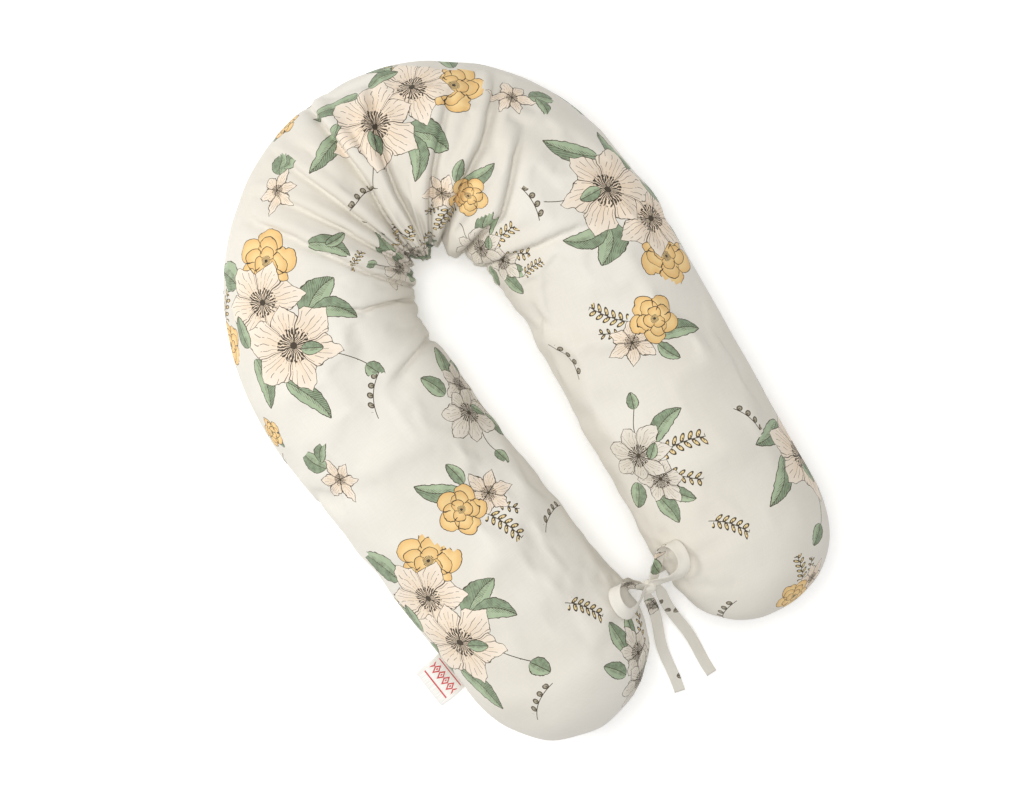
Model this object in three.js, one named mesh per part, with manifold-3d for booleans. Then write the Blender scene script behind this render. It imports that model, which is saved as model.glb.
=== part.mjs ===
// Nursing pillow: a long fibre-filled bolster bent into a horseshoe, its two ends held together by a
// bow tied from two fabric ties. The printed cover comes off through a zip in the outer seam of the
// right leg. Millimetres, +Z up, the pillow lies flat on its underside. While it is being laid out,
// the middle of the bend is at x = 0, y = 0 and the legs point along -Y. The last lines move the
// whole object so that the origin is at the bottom centre of its box.
import * as THREE from 'three';
import { mergeVertices } from 'three/addons/utils/BufferGeometryUtils.js';
import Module from 'manifold-3d';

const wasm = await Module();
wasm.setup();

// ---- Driving dimensions -------------------------------------------------------------------------

// Centreline from above: half an ellipse for the bend, then two straight legs that lean inwards.
const bendHalfWidth = 160;
const bendDepth = 200;
const legDrop = 490; // from the bend's centre down to the tips' ends
const bowFromTips = 109; // from the tips' ends up to the bow
const leftBowGap = 12; // from the middle line to the left leg's inner edge at the bow, about
const rightBowGap = 31; // the same on the right

// Body of the bolster: half widths and half heights of its section, fattest at the crown.
const leftBody = { halfWidth: 113, halfHeight: 91 };
const crownBody = { halfWidth: 115, halfHeight: 92 };
const rightBody = { halfWidth: 104, halfHeight: 84 };
const centreHeight = 76; // of the section above the floor, so its underside is flattened
const tipLength = 130;
const tipRoundness = 2.4; // 2 would be an ellipse, more is blunter

// Layers, from the outside in, with the air left between one and the next.
const coverWall = 1.6;
const casingWall = 1.2;
const layerGap = 0.5;

// Side seam between the upper and lower panels.
const seamHeight = 50;
const seamGap = 0.3;
const clearance = 0.3; // between pieces that touch on the real pillow
const flatBandHalf = 16; // the flank is flat this far above and below the seam, for the zip

// Zip, in the seam on the outside of the right leg.
const zipEndClear = 22; // between each end of the zip and the end of the leg's straight part
const tapeWidth = 9.8;
const tapeThickness = 0.9;
const toothRow = { width: 1.8, height: 2.4 };
const rowGap = 1.4; // between the two rows of teeth
const endMargin = 12; // bare tape past the teeth
const stopLength = 3;
const stopHeight = 2.8;
const sliderLength = 11;
const sliderPlate = 1;
const sliderWeb = { thickness: 0.6, length: 3 };
const lug = { length: 5.4, width: 2, height: 4, wall: 1.2 };
const tab = { length: 24, width: 7, thickness: 1.2, bar: 1.3, holeLength: 4.6, holeWidth: 3.2 };

// Ties, bow and labels.
const tieWidth = 14;
const tieThickness = 1.2;
const tieSeamDepth = 1.4; // how far a tie's root runs into the seam
const tieClear = 5; // between a tie's root and the bulge of the flank
const bowSide = 9; // of the knot from the middle line
const knot = { width: 13, length: 15, height: 13, centreHeight: 104 };
const tailReach = 136; // from the knot along the floor to a tail's end
const tailDrop = 4; // of a tail's start below the knot's centre
const tailGap = 4.5; // between the two tails where they leave the knot
const tailShift = 0.8; // of the pair of tails from under the knot's centre
const leftTail = { side: -1, heading: THREE.MathUtils.degToRad(-13), foot: 52 };
const rightTail = { side: 1, heading: THREE.MathUtils.degToRad(-0.5), foot: 58 };
const leftLoop = { length: 58, width: 38, slope: 41, turn: 168 };
const rightLoop = { length: 68, width: 38, slope: 37, turn: 15 };
const loopBand = 11; // width of the strip that a loop's ring is made of
const loopThickness = 2.4;
const brandLabel = { length: 50, reach: 34, thickness: 0.8, fromTips: 158, droop: 8 };
const careLabel = { length: 30, reach: 38, thickness: 0.6, fromTips: 330, droop: 84 };

// Fineness of the faceted surfaces.
const bendSteps = 18;
const legSteps = 3;
const tipSteps = 5;
const crownSteps = 8; // facets over the top, between the two flat bands
const steepestFloorAngle = THREE.MathUtils.degToRad(80);

// ---- Materials ----------------------------------------------------------------------------------

const finish = (color, roughness, metalness = 0) =>
  new THREE.MeshStandardMaterial({ color, roughness, metalness });
const printedCotton = () => finish(0xebe5d8, 0.85);
const plainCotton = () => finish(0xf3f1ec, 0.9);
const fibre = () => finish(0xfafafa, 1);
const zipTape = () => finish(0xe9e4d6, 0.8);
const zipNylon = () => finish(0xded8c8, 0.45);
const zipMetal = () => finish(0xc9c9cb, 0.35, 0.9);
const satin = () => finish(0xfbfaf8, 0.4);

// ---- Solids -------------------------------------------------------------------------------------

// A closed geometry as a solid for cutting and joining.
function solidOf(geometry) {
  const bare = geometry.clone();
  bare.deleteAttribute('normal');
  bare.deleteAttribute('uv');
  const merged = mergeVertices(bare, 1e-4);
  return new wasm.Manifold(new wasm.Mesh({
    numProp: 3,
    vertProperties: new Float32Array(merged.attributes.position.array),
    triVerts: new Uint32Array(merged.index.array),
  }));
}

function geometryOf(solid) {
  const mesh = solid.getMesh();
  const geometry = new THREE.BufferGeometry();
  geometry.setAttribute('position', new THREE.BufferAttribute(new Float32Array(mesh.vertProperties), 3));
  geometry.setIndex(new THREE.BufferAttribute(new Uint32Array(mesh.triVerts), 1));
  geometry.computeVertexNormals();
  return geometry;
}

// A box from its lowest corner to its highest.
function boxBetween(low, high) {
  const size = high.map((value, axis) => value - low[axis]);
  const middle = high.map((value, axis) => (value + low[axis]) / 2);
  return new THREE.BoxGeometry(...size).translate(...middle);
}

function union(geometries) {
  return geometryOf(geometries.map(solidOf).reduce((sum, next) => sum.add(next)));
}

// ---- The horseshoe ------------------------------------------------------------------------------

// Where a leg starts at the bend, and which way it runs. side is -1 for left and 1 for right.
function legOf(side) {
  const body = side < 0 ? leftBody : rightBody;
  const bowGap = side < 0 ? leftBowGap : rightBowGap;
  const lean = Math.atan((bendHalfWidth - body.halfWidth - bowGap) / (legDrop - bowFromTips));
  const overrun = Math.atan((bendDepth / bendHalfWidth) * Math.tan(lean));
  const start = new THREE.Vector2(side * bendHalfWidth * Math.cos(overrun), -bendDepth * Math.sin(overrun));
  return {
    side,
    overrun,
    start,
    along: new THREE.Vector2(-side * Math.sin(lean), -Math.cos(lean)),
    outward: new THREE.Vector2(side * Math.cos(lean), -Math.sin(lean)),
    length: (legDrop + start.y) / Math.cos(lean),
    lean,
    body,
  };
}

const leftLeg = legOf(-1);
const rightLeg = legOf(1);

// Distance along a leg of the place that lies fromTips above the tips' ends.
const legDistance = (leg, fromTips) => leg.length - fromTips / Math.cos(leg.lean);
const legPoint = (leg, distance, offset = 0) =>
  leg.start.clone().addScaledVector(leg.along, distance).addScaledVector(leg.outward, offset);

// Stations along one leg, from the bend to the last ring before the tip, and the tip's pole.
function legStations(leg, inset) {
  const straight = leg.length - tipLength;
  const halfWidth = leg.body.halfWidth - inset;
  const halfHeight = leg.body.halfHeight - inset;
  const stations = [];
  for (let step = 0; step <= legSteps; step++) {
    const centre = legPoint(leg, (straight * step) / legSteps);
    stations.push({ centre, outward: leg.outward, halfWidth, halfHeight });
  }
  for (let step = 1; step < tipSteps; step++) {
    const angle = (Math.PI / 2) * (step / tipSteps);
    const reach = Math.sin(angle) ** (2 / tipRoundness);
    const share = Math.cos(angle) ** (2 / tipRoundness);
    const centre = legPoint(leg, straight + (tipLength - inset) * reach);
    const size = { halfWidth: halfWidth * share, halfHeight: halfHeight * share };
    stations.push({ centre, outward: leg.outward, ...size });
  }
  const pole = legPoint(leg, straight + tipLength - inset);
  return { stations, pole };
}

// Stations round the bend, from the left leg to the right, without the two that the legs start with.
function bendStations(inset) {
  const first = Math.PI + leftLeg.overrun;
  const last = -rightLeg.overrun;
  const stations = [];
  for (let step = 1; step < bendSteps; step++) {
    const angle = first + ((last - first) * step) / bendSteps;
    const body = angle > Math.PI / 2 ? leftBody : rightBody;
    const blend = THREE.MathUtils.smoothstep(Math.sin(angle), 0, 1); // 0 at the legs, 1 at the crown
    const centre = new THREE.Vector2(bendHalfWidth * Math.cos(angle), bendDepth * Math.sin(angle));
    const outward = new THREE.Vector2(Math.cos(angle) / bendHalfWidth, Math.sin(angle) / bendDepth);
    outward.normalize();
    stations.push({
      centre,
      outward,
      halfWidth: THREE.MathUtils.lerp(body.halfWidth, crownBody.halfWidth, blend) - inset,
      halfHeight: THREE.MathUtils.lerp(body.halfHeight, crownBody.halfHeight, blend) - inset,
    });
  }
  return stations;
}

// Angles of the flat band's lower and upper edges, which are level with the zip on the right leg.
const bandAngle = (height) => Math.asin((height - centreHeight) / rightBody.halfHeight);
const bandLow = bandAngle(seamHeight - flatBandHalf);
const bandHigh = bandAngle(seamHeight + flatBandHalf);

// Angles of a section's corners, from the outer edge of its flat underside, over the top, to the inner.
function sectionAngles(halfHeight, inset) {
  const floorSine = Math.max((inset - centreHeight) / halfHeight, -Math.sin(steepestFloorAngle));
  const floor = Math.asin(Math.max(floorSine, -1));
  const angles = [floor, (floor + bandLow) / 2, bandLow, bandHigh];
  for (let step = 1; step < crownSteps; step++) {
    angles.push(bandHigh + ((Math.PI - 2 * bandHigh) * step) / crownSteps);
  }
  const outer = [bandHigh, bandLow, (floor + bandLow) / 2, floor];
  return [...angles, ...outer.map((angle) => Math.PI - angle)];
}

// The whole horseshoe as one closed solid, each face moved in by inset.
function horseshoe(inset) {
  const left = legStations(leftLeg, inset);
  const right = legStations(rightLeg, inset);
  const stations = [...left.stations.reverse(), ...bendStations(inset), ...right.stations];
  const positions = [];
  let corners = 0;
  for (const { centre, outward, halfWidth, halfHeight } of stations) {
    const angles = sectionAngles(halfHeight, inset);
    corners = angles.length;
    for (const angle of angles) {
      const place = centre.clone().addScaledVector(outward, halfWidth * Math.cos(angle));
      positions.push(place.x, place.y, centreHeight + halfHeight * Math.sin(angle));
    }
  }
  const leftPole = positions.length / 3;
  positions.push(left.pole.x, left.pole.y, centreHeight);
  positions.push(right.pole.x, right.pole.y, centreHeight);
  const faces = [];
  const lastRing = (stations.length - 1) * corners;
  for (let corner = 0; corner < corners; corner++) {
    const next = (corner + 1) % corners;
    for (let ring = 0; ring < lastRing; ring += corners) {
      faces.push(ring + corner, ring + next, ring + corners + corner);
      faces.push(ring + next, ring + corners + next, ring + corners + corner);
    }
    faces.push(leftPole, next, corner);
    faces.push(leftPole + 1, lastRing + corner, lastRing + next);
  }
  const geometry = new THREE.BufferGeometry();
  geometry.setAttribute('position', new THREE.Float32BufferAttribute(positions, 3));
  geometry.setIndex(faces);
  return geometry;
}

// A shell between two insets, as its part above and its part below the seam.
function panelsBetween(outerInset, innerInset) {
  const shell = solidOf(horseshoe(outerInset)).subtract(solidOf(horseshoe(innerInset)));
  const reach = 2 * (legDrop + bendDepth);
  const above = boxBetween([-reach, -reach, seamHeight + seamGap / 2], [reach, reach, reach]);
  const below = boxBetween([-reach, -reach, -reach], [reach, reach, seamHeight - seamGap / 2]);
  return { top: shell.intersect(solidOf(above)), bottom: shell.intersect(solidOf(below)) };
}

// How far the flank stands out from the centreline at the seam: a point on the flat band.
function seamOffset(body) {
  const low = centreHeight + body.halfHeight * Math.sin(bandLow);
  const high = centreHeight + body.halfHeight * Math.sin(bandHigh);
  const share = (seamHeight - low) / (high - low);
  return body.halfWidth * THREE.MathUtils.lerp(Math.cos(bandLow), Math.cos(bandHigh), share);
}

// ---- Zip ----------------------------------------------------------------------------------------

// The zip's own frame: x along the seam towards the bend, y up the flank, z straight out of it.
function zipFrame() {
  const middle = legPoint(rightLeg, (rightLeg.length - tipLength) / 2, seamOffset(rightBody));
  const rise = rightBody.halfHeight * (Math.sin(bandHigh) - Math.sin(bandLow));
  const run = rightBody.halfWidth * (Math.cos(bandHigh) - Math.cos(bandLow));
  const up = new THREE.Vector3(rightLeg.outward.x * run, rightLeg.outward.y * run, rise).normalize();
  const along = new THREE.Vector3(-rightLeg.along.x, -rightLeg.along.y, 0);
  const out = new THREE.Vector3().crossVectors(along, up);
  const frame = new THREE.Matrix4().makeBasis(along, up, out);
  return frame.setPosition(middle.x, middle.y, seamHeight);
}

const zipLength = rightLeg.length - tipLength - 2 * zipEndClear;
const rowInner = rowGap / 2;
const rowOuter = rowInner + toothRow.width;
const tapeInner = rowOuter + clearance;
const tapeOuter = tapeInner + tapeWidth;
const tapeTop = -clearance;
const teethHalf = zipLength / 2 - endMargin;
const rowTop = toothRow.height - clearance;
const chainHalf = teethHalf - stopLength - 2 * clearance;

// The window that the zip fills in the cover's seam.
function zipWindow() {
  const half = [zipLength / 2 + clearance, tapeOuter + clearance];
  const depth = coverWall + clearance;
  const height = toothRow.height + 2 * lug.height;
  return boxBetween([-half[0], -half[1], -depth], [half[0], half[1], height]);
}

// One half of the zip's tape. flank is 1 above the teeth and -1 below.
function tapeStrip(flank) {
  const edges = [flank * tapeInner, flank * tapeOuter].sort((a, b) => a - b);
  return boxBetween([-zipLength / 2, edges[0], tapeTop - tapeThickness], [zipLength / 2, edges[1], tapeTop]);
}

// One row of teeth: an eight-sided bar, rounded towards the outside.
function toothBar(flank) {
  const bevel = toothRow.width / 4;
  const low = -clearance;
  const outline = new THREE.Shape([
    new THREE.Vector2(rowInner + bevel, low),
    new THREE.Vector2(rowOuter - bevel, low),
    new THREE.Vector2(rowOuter, low + bevel),
    new THREE.Vector2(rowOuter, rowTop - bevel),
    new THREE.Vector2(rowOuter - bevel, rowTop),
    new THREE.Vector2(rowInner + bevel, rowTop),
    new THREE.Vector2(rowInner, rowTop - bevel),
    new THREE.Vector2(rowInner, low + bevel),
  ]);
  const bar = new THREE.ExtrudeGeometry(outline, { depth: 2 * chainHalf, bevelEnabled: false });
  bar.translate(0, 0, -chainHalf);
  // The outline's x runs across the zip, its y stands out of it, and the extrusion runs along it.
  bar.applyMatrix4(new THREE.Matrix4().makeBasis(
    new THREE.Vector3(0, 1, 0), new THREE.Vector3(0, 0, 1), new THREE.Vector3(1, 0, 0)));
  return flank > 0 ? bar : bar.rotateX(Math.PI).translate(0, 0, rowTop - clearance);
}

// A crimped stop across one row of teeth, or across both.
function stopBlock(end, acrossLow, acrossHigh) {
  const near = end * (chainHalf + clearance);
  const far = end * (chainHalf + clearance + stopLength);
  const low = [Math.min(near, far), acrossLow, -clearance];
  return boxBetween(low, [Math.max(near, far), acrossHigh, stopHeight]);
}

// The slider straddles the teeth: a plate outside, one behind, a thin web between the rows.
const sliderTop = rowTop + clearance + sliderPlate;
const sliderHalf = sliderLength / 2;
const eyeLow = sliderTop + clearance / 2;
const eyeHigh = sliderTop + lug.height - lug.wall;
const barHeight = (eyeLow + eyeHigh) / 2;
const sliderPlace = chainHalf - sliderHalf - clearance;

function sliderBody() {
  const plateHalf = rowOuter + clearance + sliderPlate;
  const plateLow = sliderTop - sliderPlate;
  const outerPlate = boxBetween([-sliderHalf, -plateHalf, plateLow], [sliderHalf, plateHalf, sliderTop]);
  const skirtLow = tapeTop + clearance;
  const skirts = [-1, 1].map((flank) => {
    const edges = [flank * (plateHalf - sliderPlate), flank * plateHalf].sort((a, b) => a - b);
    return boxBetween([-sliderHalf, edges[0], skirtLow], [sliderHalf, edges[1], sliderTop]);
  });
  const backHalf = tapeInner - clearance;
  const backTop = -2 * clearance;
  const backLow = backTop - sliderPlate / 2;
  const back = boxBetween([-sliderHalf, -backHalf, backLow], [sliderHalf, backHalf, backTop]);
  const webHalf = sliderWeb.thickness / 2;
  const webStart = sliderHalf - sliderWeb.length;
  const web = boxBetween([webStart, -webHalf, backLow], [sliderHalf, webHalf, plateLow]);
  const arch = solidOf(boxBetween(
    [-lug.length / 2, -lug.width / 2, sliderTop - sliderPlate / 2],
    [lug.length / 2, lug.width / 2, sliderTop + lug.height]));
  const eyeHalf = lug.length / 2 - lug.wall;
  const eye = solidOf(boxBetween(
    [-eyeHalf, -lug.width, eyeLow],
    [eyeHalf, lug.width, eyeHigh]));
  return union([outerPlate, ...skirts, back, web, geometryOf(arch.subtract(eye))]);
}

// The pull tab: a flat tongue whose square end bar passes through the slider's lug.
function pullTab() {
  const outline = new THREE.Shape();
  const half = tab.width / 2;
  outline.moveTo(tab.bar / 2, -half);
  outline.lineTo(tab.bar / 2, half);
  outline.lineTo(half - tab.length, half);
  outline.absarc(half - tab.length, 0, half, Math.PI / 2, 1.5 * Math.PI);
  outline.closePath();
  const hole = new THREE.Path([
    new THREE.Vector2(-tab.bar / 2, -tab.holeWidth / 2),
    new THREE.Vector2(-tab.bar / 2 - tab.holeLength, -tab.holeWidth / 2),
    new THREE.Vector2(-tab.bar / 2 - tab.holeLength, tab.holeWidth / 2),
    new THREE.Vector2(-tab.bar / 2, tab.holeWidth / 2),
  ]);
  outline.holes.push(hole);
  const settings = { depth: tab.thickness, bevelEnabled: false, curveSegments: 8 };
  const plate = new THREE.ExtrudeGeometry(outline, settings);
  return plate.translate(0, 0, -tab.thickness / 2);
}

// ---- Ties and labels ----------------------------------------------------------------------------

const knotPlace = new THREE.Vector3(bowSide, bowFromTips - legDrop, knot.centreHeight);

// A flat straight strip between two points, its width running as nearly along across as it can.
function straightStrip(from, to, width, thickness, across) {
  const along = new THREE.Vector3().subVectors(to, from);
  const length = along.length();
  along.normalize();
  const normal = new THREE.Vector3().crossVectors(along, across).normalize();
  const side = new THREE.Vector3().crossVectors(normal, along);
  const place = new THREE.Matrix4().makeBasis(along, side, normal).setPosition(from);
  return new THREE.BoxGeometry(length, width, thickness).translate(length / 2, 0, 0).applyMatrix4(place);
}

// A tie's root: out of the leg's inner seam, past the bulge of the flank, and up to the knot.
function tieRoot(leg, extra = 0) {
  const distance = legDistance(leg, bowFromTips);
  const inner = legPoint(leg, distance, -seamOffset(leg.body) + tieSeamDepth);
  const elbow = legPoint(leg, distance, -leg.body.halfWidth - tieClear);
  const width = tieWidth + 2 * extra;
  const thickness = tieThickness + 2 * extra;
  const seamEnd = new THREE.Vector3(inner.x, inner.y, seamHeight);
  const bend = new THREE.Vector3(elbow.x, elbow.y, seamHeight + tieClear);
  const knotEnd = knotPlace.clone();
  knotEnd.x += leg.side * (knot.width / 4);
  knotEnd.z -= knot.height / 2 + tieThickness;
  const across = new THREE.Vector3(0, 1, 0);
  return [
    straightStrip(seamEnd, bend, width, thickness, across),
    straightStrip(bend, knotEnd, width, thickness, across),
  ];
}
// A tail: a strip that falls from the knot and runs out along the floor. Its side view is a band
// of even thickness along a quadratic curve.
function tieTail({ foot }) {
  const start = new THREE.Vector2(0, knot.centreHeight - tailDrop);
  const floor = tieThickness / 2 + clearance;
  const curve = new THREE.QuadraticBezierCurve(
    start, new THREE.Vector2(foot, floor), new THREE.Vector2(tailReach - knot.length / 2, floor));
  const steps = 9;
  const upper = [];
  const lower = [];
  for (let step = 0; step <= steps; step++) {
    const point = curve.getPoint(step / steps);
    const tangent = curve.getTangent(step / steps);
    const normal = new THREE.Vector2(-tangent.y, tangent.x).multiplyScalar(tieThickness / 2);
    upper.push(point.clone().add(normal));
    lower.push(point.clone().sub(normal));
  }
  const outline = new THREE.Shape([...upper, ...lower.reverse()]);
  const strip = new THREE.ExtrudeGeometry(outline, { depth: tieWidth, bevelEnabled: false });
  strip.translate(0, 0, -tieWidth / 2);
  // The outline's x runs away from the knot along -Y, its y is height, and the width is along -X.
  return strip.applyMatrix4(new THREE.Matrix4().makeBasis(
    new THREE.Vector3(0, -1, 0), new THREE.Vector3(0, 0, 1), new THREE.Vector3(-1, 0, 0)));
}

// A loop of the bow: a flat oval ring, from its root at the origin out along +X.
function bowLoop({ length, width }) {
  const outline = new THREE.Shape();
  outline.absellipse(length / 2, 0, length / 2, width / 2, 0, 2 * Math.PI);
  const opening = new THREE.Path();
  opening.absellipse(length / 2, 0, length / 2 - loopBand, width / 2 - loopBand, 0, 2 * Math.PI, true);
  outline.holes.push(opening);
  const settings = { depth: loopThickness, bevelEnabled: false, curveSegments: 9 };
  const ring = new THREE.ExtrudeGeometry(outline, settings);
  return ring.translate(0, 0, -loopThickness / 2);
}

// ---- Assembly -----------------------------------------------------------------------------------

const pillow = new THREE.Group();

function piece(name, geometry, material, parent = pillow) {
  const mesh = new THREE.Mesh(geometry, material);
  mesh.name = name;
  parent.add(mesh);
  return mesh;
}

// Cover, inner casing and filling, each inside the one before.
const casingInset = coverWall + layerGap;
const fillingInset = casingInset + casingWall + layerGap;
const cover = panelsBetween(0, coverWall);
const casing = panelsBetween(casingInset, casingInset + casingWall);
const zipPlace = zipFrame();
const cuts = [
  zipWindow().applyMatrix4(zipPlace),
  ...tieRoot(leftLeg, clearance),
  ...tieRoot(rightLeg, clearance),
].map(solidOf);
const cutCover = (panel) => geometryOf(cuts.reduce((rest, cut) => rest.subtract(cut), panel));
piece('cover_top_panel', cutCover(cover.top), printedCotton());
piece('cover_bottom_panel', cutCover(cover.bottom), printedCotton());
piece('inner_casing_top', geometryOf(casing.top), plainCotton());
piece('inner_casing_bottom', geometryOf(casing.bottom), plainCotton());
piece('fibre_filling', horseshoe(fillingInset), fibre());

// Zip.
const zip = new THREE.Group();
zipPlace.decompose(zip.position, zip.quaternion, zip.scale);
pillow.add(zip);
piece('zip_tape_upper', tapeStrip(1), zipTape(), zip);
piece('zip_tape_lower', tapeStrip(-1), zipTape(), zip);
piece('zip_teeth_upper', toothBar(1), zipNylon(), zip);
piece('zip_teeth_lower', toothBar(-1), zipNylon(), zip);
piece('zip_top_stop_upper', stopBlock(1, rowInner, rowOuter), zipMetal(), zip);
piece('zip_top_stop_lower', stopBlock(1, -rowOuter, -rowInner), zipMetal(), zip);
piece('zip_bottom_stop', stopBlock(-1, -rowOuter, rowOuter), zipMetal(), zip);
piece('zip_slider', sliderBody(), zipMetal(), zip).position.set(sliderPlace, 0, 0);
piece('zip_pull_tab', pullTab(), zipMetal(), zip).position.set(sliderPlace, 0, barHeight);

// Ties: two roots from the inner seams, the knot, two loops and two tails.
piece('tie_left_root', union(tieRoot(leftLeg)), printedCotton());
piece('tie_right_root', union(tieRoot(rightLeg)), printedCotton());
const knotBall = new THREE.SphereGeometry(0.5, 12, 8).rotateX(Math.PI / 2);
knotBall.scale(knot.width, knot.length, knot.height);
piece('bow_knot', knotBall, printedCotton()).position.copy(knotPlace);

for (const [name, tail] of [['tie_left_tail', leftTail], ['tie_right_tail', rightTail]]) {
  const mesh = piece(name, tieTail(tail), printedCotton());
  const side = tailShift + (tail.side * (tieWidth + tailGap)) / 2;
  mesh.rotation.z = tail.heading;
  mesh.position.set(knotPlace.x + side, knotPlace.y - knot.length / 2 - clearance, 0);
}

for (const [name, loop] of [['tie_left_loop', leftLoop], ['tie_right_loop', rightLoop]]) {
  const mesh = piece(name, bowLoop(loop), printedCotton());
  mesh.rotation.order = 'ZYX';
  mesh.rotation.z = THREE.MathUtils.degToRad(loop.turn);
  mesh.rotation.y = -THREE.MathUtils.degToRad(loop.slope);
  mesh.position.copy(knotPlace);
  mesh.translateX(knot.length / 2 + 2 * clearance);
}

// Labels, hung from the outer seam of the left leg. Each one's frame has x along the seam and y out.
for (const [name, label] of [['brand_label', brandLabel], ['care_label', careLabel]]) {
  const plate = new THREE.BoxGeometry(label.length, label.reach, label.thickness);
  plate.translate(0, label.reach / 2 + label.thickness / 2 + clearance, 0);
  const root = legPoint(leftLeg, legDistance(leftLeg, label.fromTips), seamOffset(leftBody) + clearance);
  const mesh = piece(name, plate, satin());
  mesh.position.set(root.x, root.y, seamHeight);
  mesh.rotation.order = 'ZYX';
  mesh.rotation.z = Math.atan2(leftLeg.outward.y, leftLeg.outward.x) - Math.PI / 2;
  mesh.rotation.x = -THREE.MathUtils.degToRad(label.droop);
}

// Move the object so that its origin is the bottom centre of its box.
pillow.updateMatrixWorld(true);
const extent = new THREE.Box3().setFromObject(pillow, true);
const middle = extent.getCenter(new THREE.Vector3());
pillow.position.set(-middle.x, -middle.y, -extent.min.z);

export default pillow;
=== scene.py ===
# %% [markdown]
# # A long printed nursing pillow
#
# The real thing is a fibre-filled tube of cotton, bent into a horseshoe, in a zip-off printed cover
# whose two ends are held together by a bow. This lesson builds its looks on a finished mechanical
# model: every soft piece is worked out as a surface in numpy, the cover is settled with one short
# cloth simulation, and the flower print is drawn by shader nodes.
#
# The imported model is loaded first. It gives the knot's place. The driving
# sizes that made it are written down again below, so that every surface lands where its solid is.

# %% Load the imported model
import bmesh
import bpy
import math
import numpy as np
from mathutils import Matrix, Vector
from mathutils.bvhtree import BVHTree


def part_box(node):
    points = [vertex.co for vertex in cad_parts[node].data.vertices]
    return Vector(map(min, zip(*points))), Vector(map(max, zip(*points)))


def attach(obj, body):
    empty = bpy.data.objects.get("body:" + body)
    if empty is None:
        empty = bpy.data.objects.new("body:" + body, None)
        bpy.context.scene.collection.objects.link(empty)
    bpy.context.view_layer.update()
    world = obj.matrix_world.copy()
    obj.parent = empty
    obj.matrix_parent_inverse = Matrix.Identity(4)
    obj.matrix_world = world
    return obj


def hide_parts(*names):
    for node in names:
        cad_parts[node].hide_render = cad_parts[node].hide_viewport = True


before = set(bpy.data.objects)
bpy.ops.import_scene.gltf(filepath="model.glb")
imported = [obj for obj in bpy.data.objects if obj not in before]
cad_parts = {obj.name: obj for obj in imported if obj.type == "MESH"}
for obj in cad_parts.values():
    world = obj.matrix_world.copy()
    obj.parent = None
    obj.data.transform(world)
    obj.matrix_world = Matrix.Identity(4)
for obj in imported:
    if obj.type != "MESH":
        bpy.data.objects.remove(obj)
bpy.context.view_layer.update()

# %% [markdown]
# ## Camera
#
# A product picture of a flat thing is usually taken from a ladder, straight down, with a long lens.
# A camera at 2.4 m looking down does the same. It is rolled, so that the pillow lies across the
# picture with its tied ends at the lower right.

# %% Camera
CAMERA_HEIGHT = 2.4
VIEW_WIDTH = 1.208
VIEW_LEVEL = 0.076
VIEW_ROLL = math.radians(-33)
SENSOR = 36.0

camera = bpy.data.objects.new("camera", bpy.data.cameras.new("camera"))
bpy.context.scene.collection.objects.link(camera)
camera.location = (-0.002, -0.010, CAMERA_HEIGHT)
camera.rotation_euler = (0, 0, VIEW_ROLL)
camera.data.sensor_width = SENSOR
camera.data.lens = SENSOR * (CAMERA_HEIGHT - VIEW_LEVEL) / VIEW_WIDTH
camera.data.clip_end = 50
bpy.context.scene.camera = camera
print("lens", round(camera.data.lens, 1), "mm")

# %% [markdown]
# ## The line that the pillow follows
#
# A stuffed tube has one simple description: a line on the floor, and at each place on it a section
# with a half width and a half height. The bend is half an ellipse, the legs are straight and lean
# in towards the bow, and each tip is rounded off with a superellipse, which is blunter than a ball.
# The same numbers made the mechanical model, so the cover lands exactly on it.

# %% Driving sizes, in metres
BEND_HALF_WIDTH = 0.160
BEND_DEPTH = 0.200
LEG_DROP = 0.490
BOW_FROM_TIPS = 0.109
BOW_SIDE = 0.009
CENTRE_HEIGHT = 0.076
SEAM_HEIGHT = 0.050
TIP_LENGTH = 0.130
TIP_ROUNDNESS = 2.4
LEFT = {"side": -1, "half_width": 0.113, "half_height": 0.091, "bow_gap": 0.012}
RIGHT = {"side": 1, "half_width": 0.104, "half_height": 0.084, "bow_gap": 0.031}
CROWN = {"half_width": 0.115, "half_height": 0.092}

knot_low, knot_high = (np.array(corner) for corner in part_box("bow_knot"))
KNOT = (knot_low + knot_high) / 2
ORIGIN = np.array([KNOT[0] - BOW_SIDE, KNOT[1] + LEG_DROP - BOW_FROM_TIPS])
print("the bend's middle lies at", ORIGIN.round(4))


# %% The legs
def leg_line(body):
    """Where a leg starts at the bend, which way it runs, and its length.

    The leg leans so that its inner edge is bow_gap from the middle line at the bow. It meets the
    bend's ellipse where the ellipse's own direction is the leg's."""
    drop = LEG_DROP - BOW_FROM_TIPS
    lean = math.atan((BEND_HALF_WIDTH - body["half_width"] - body["bow_gap"]) / drop)
    overrun = math.atan(BEND_DEPTH / BEND_HALF_WIDTH * math.tan(lean))
    side = body["side"]
    start = np.array([side * BEND_HALF_WIDTH * math.cos(overrun), -BEND_DEPTH * math.sin(overrun)])
    return {
        "start": start + ORIGIN,
        "along": np.array([-side * math.sin(lean), -math.cos(lean)]),
        "outward": np.array([side * math.cos(lean), -math.sin(lean)]),
        "length": (LEG_DROP + start[1]) / math.cos(lean),
        "overrun": overrun,
        "lean": lean,
        **body,
    }


left_leg = leg_line(LEFT)
right_leg = leg_line(RIGHT)


def leg_point(leg, distance, offset=0.0):
    """A point on the floor plan: distance along the leg from the bend, offset to its outer side."""
    return leg["start"] + np.multiply.outer(distance, leg["along"]) + offset * leg["outward"]


# %% Stations along the whole line
def lengths_along(line):
    """Length of a line from its first point to each of its points."""
    return np.concatenate([[0], np.cumsum(np.linalg.norm(np.diff(line, axis=0), axis=1))])


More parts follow.
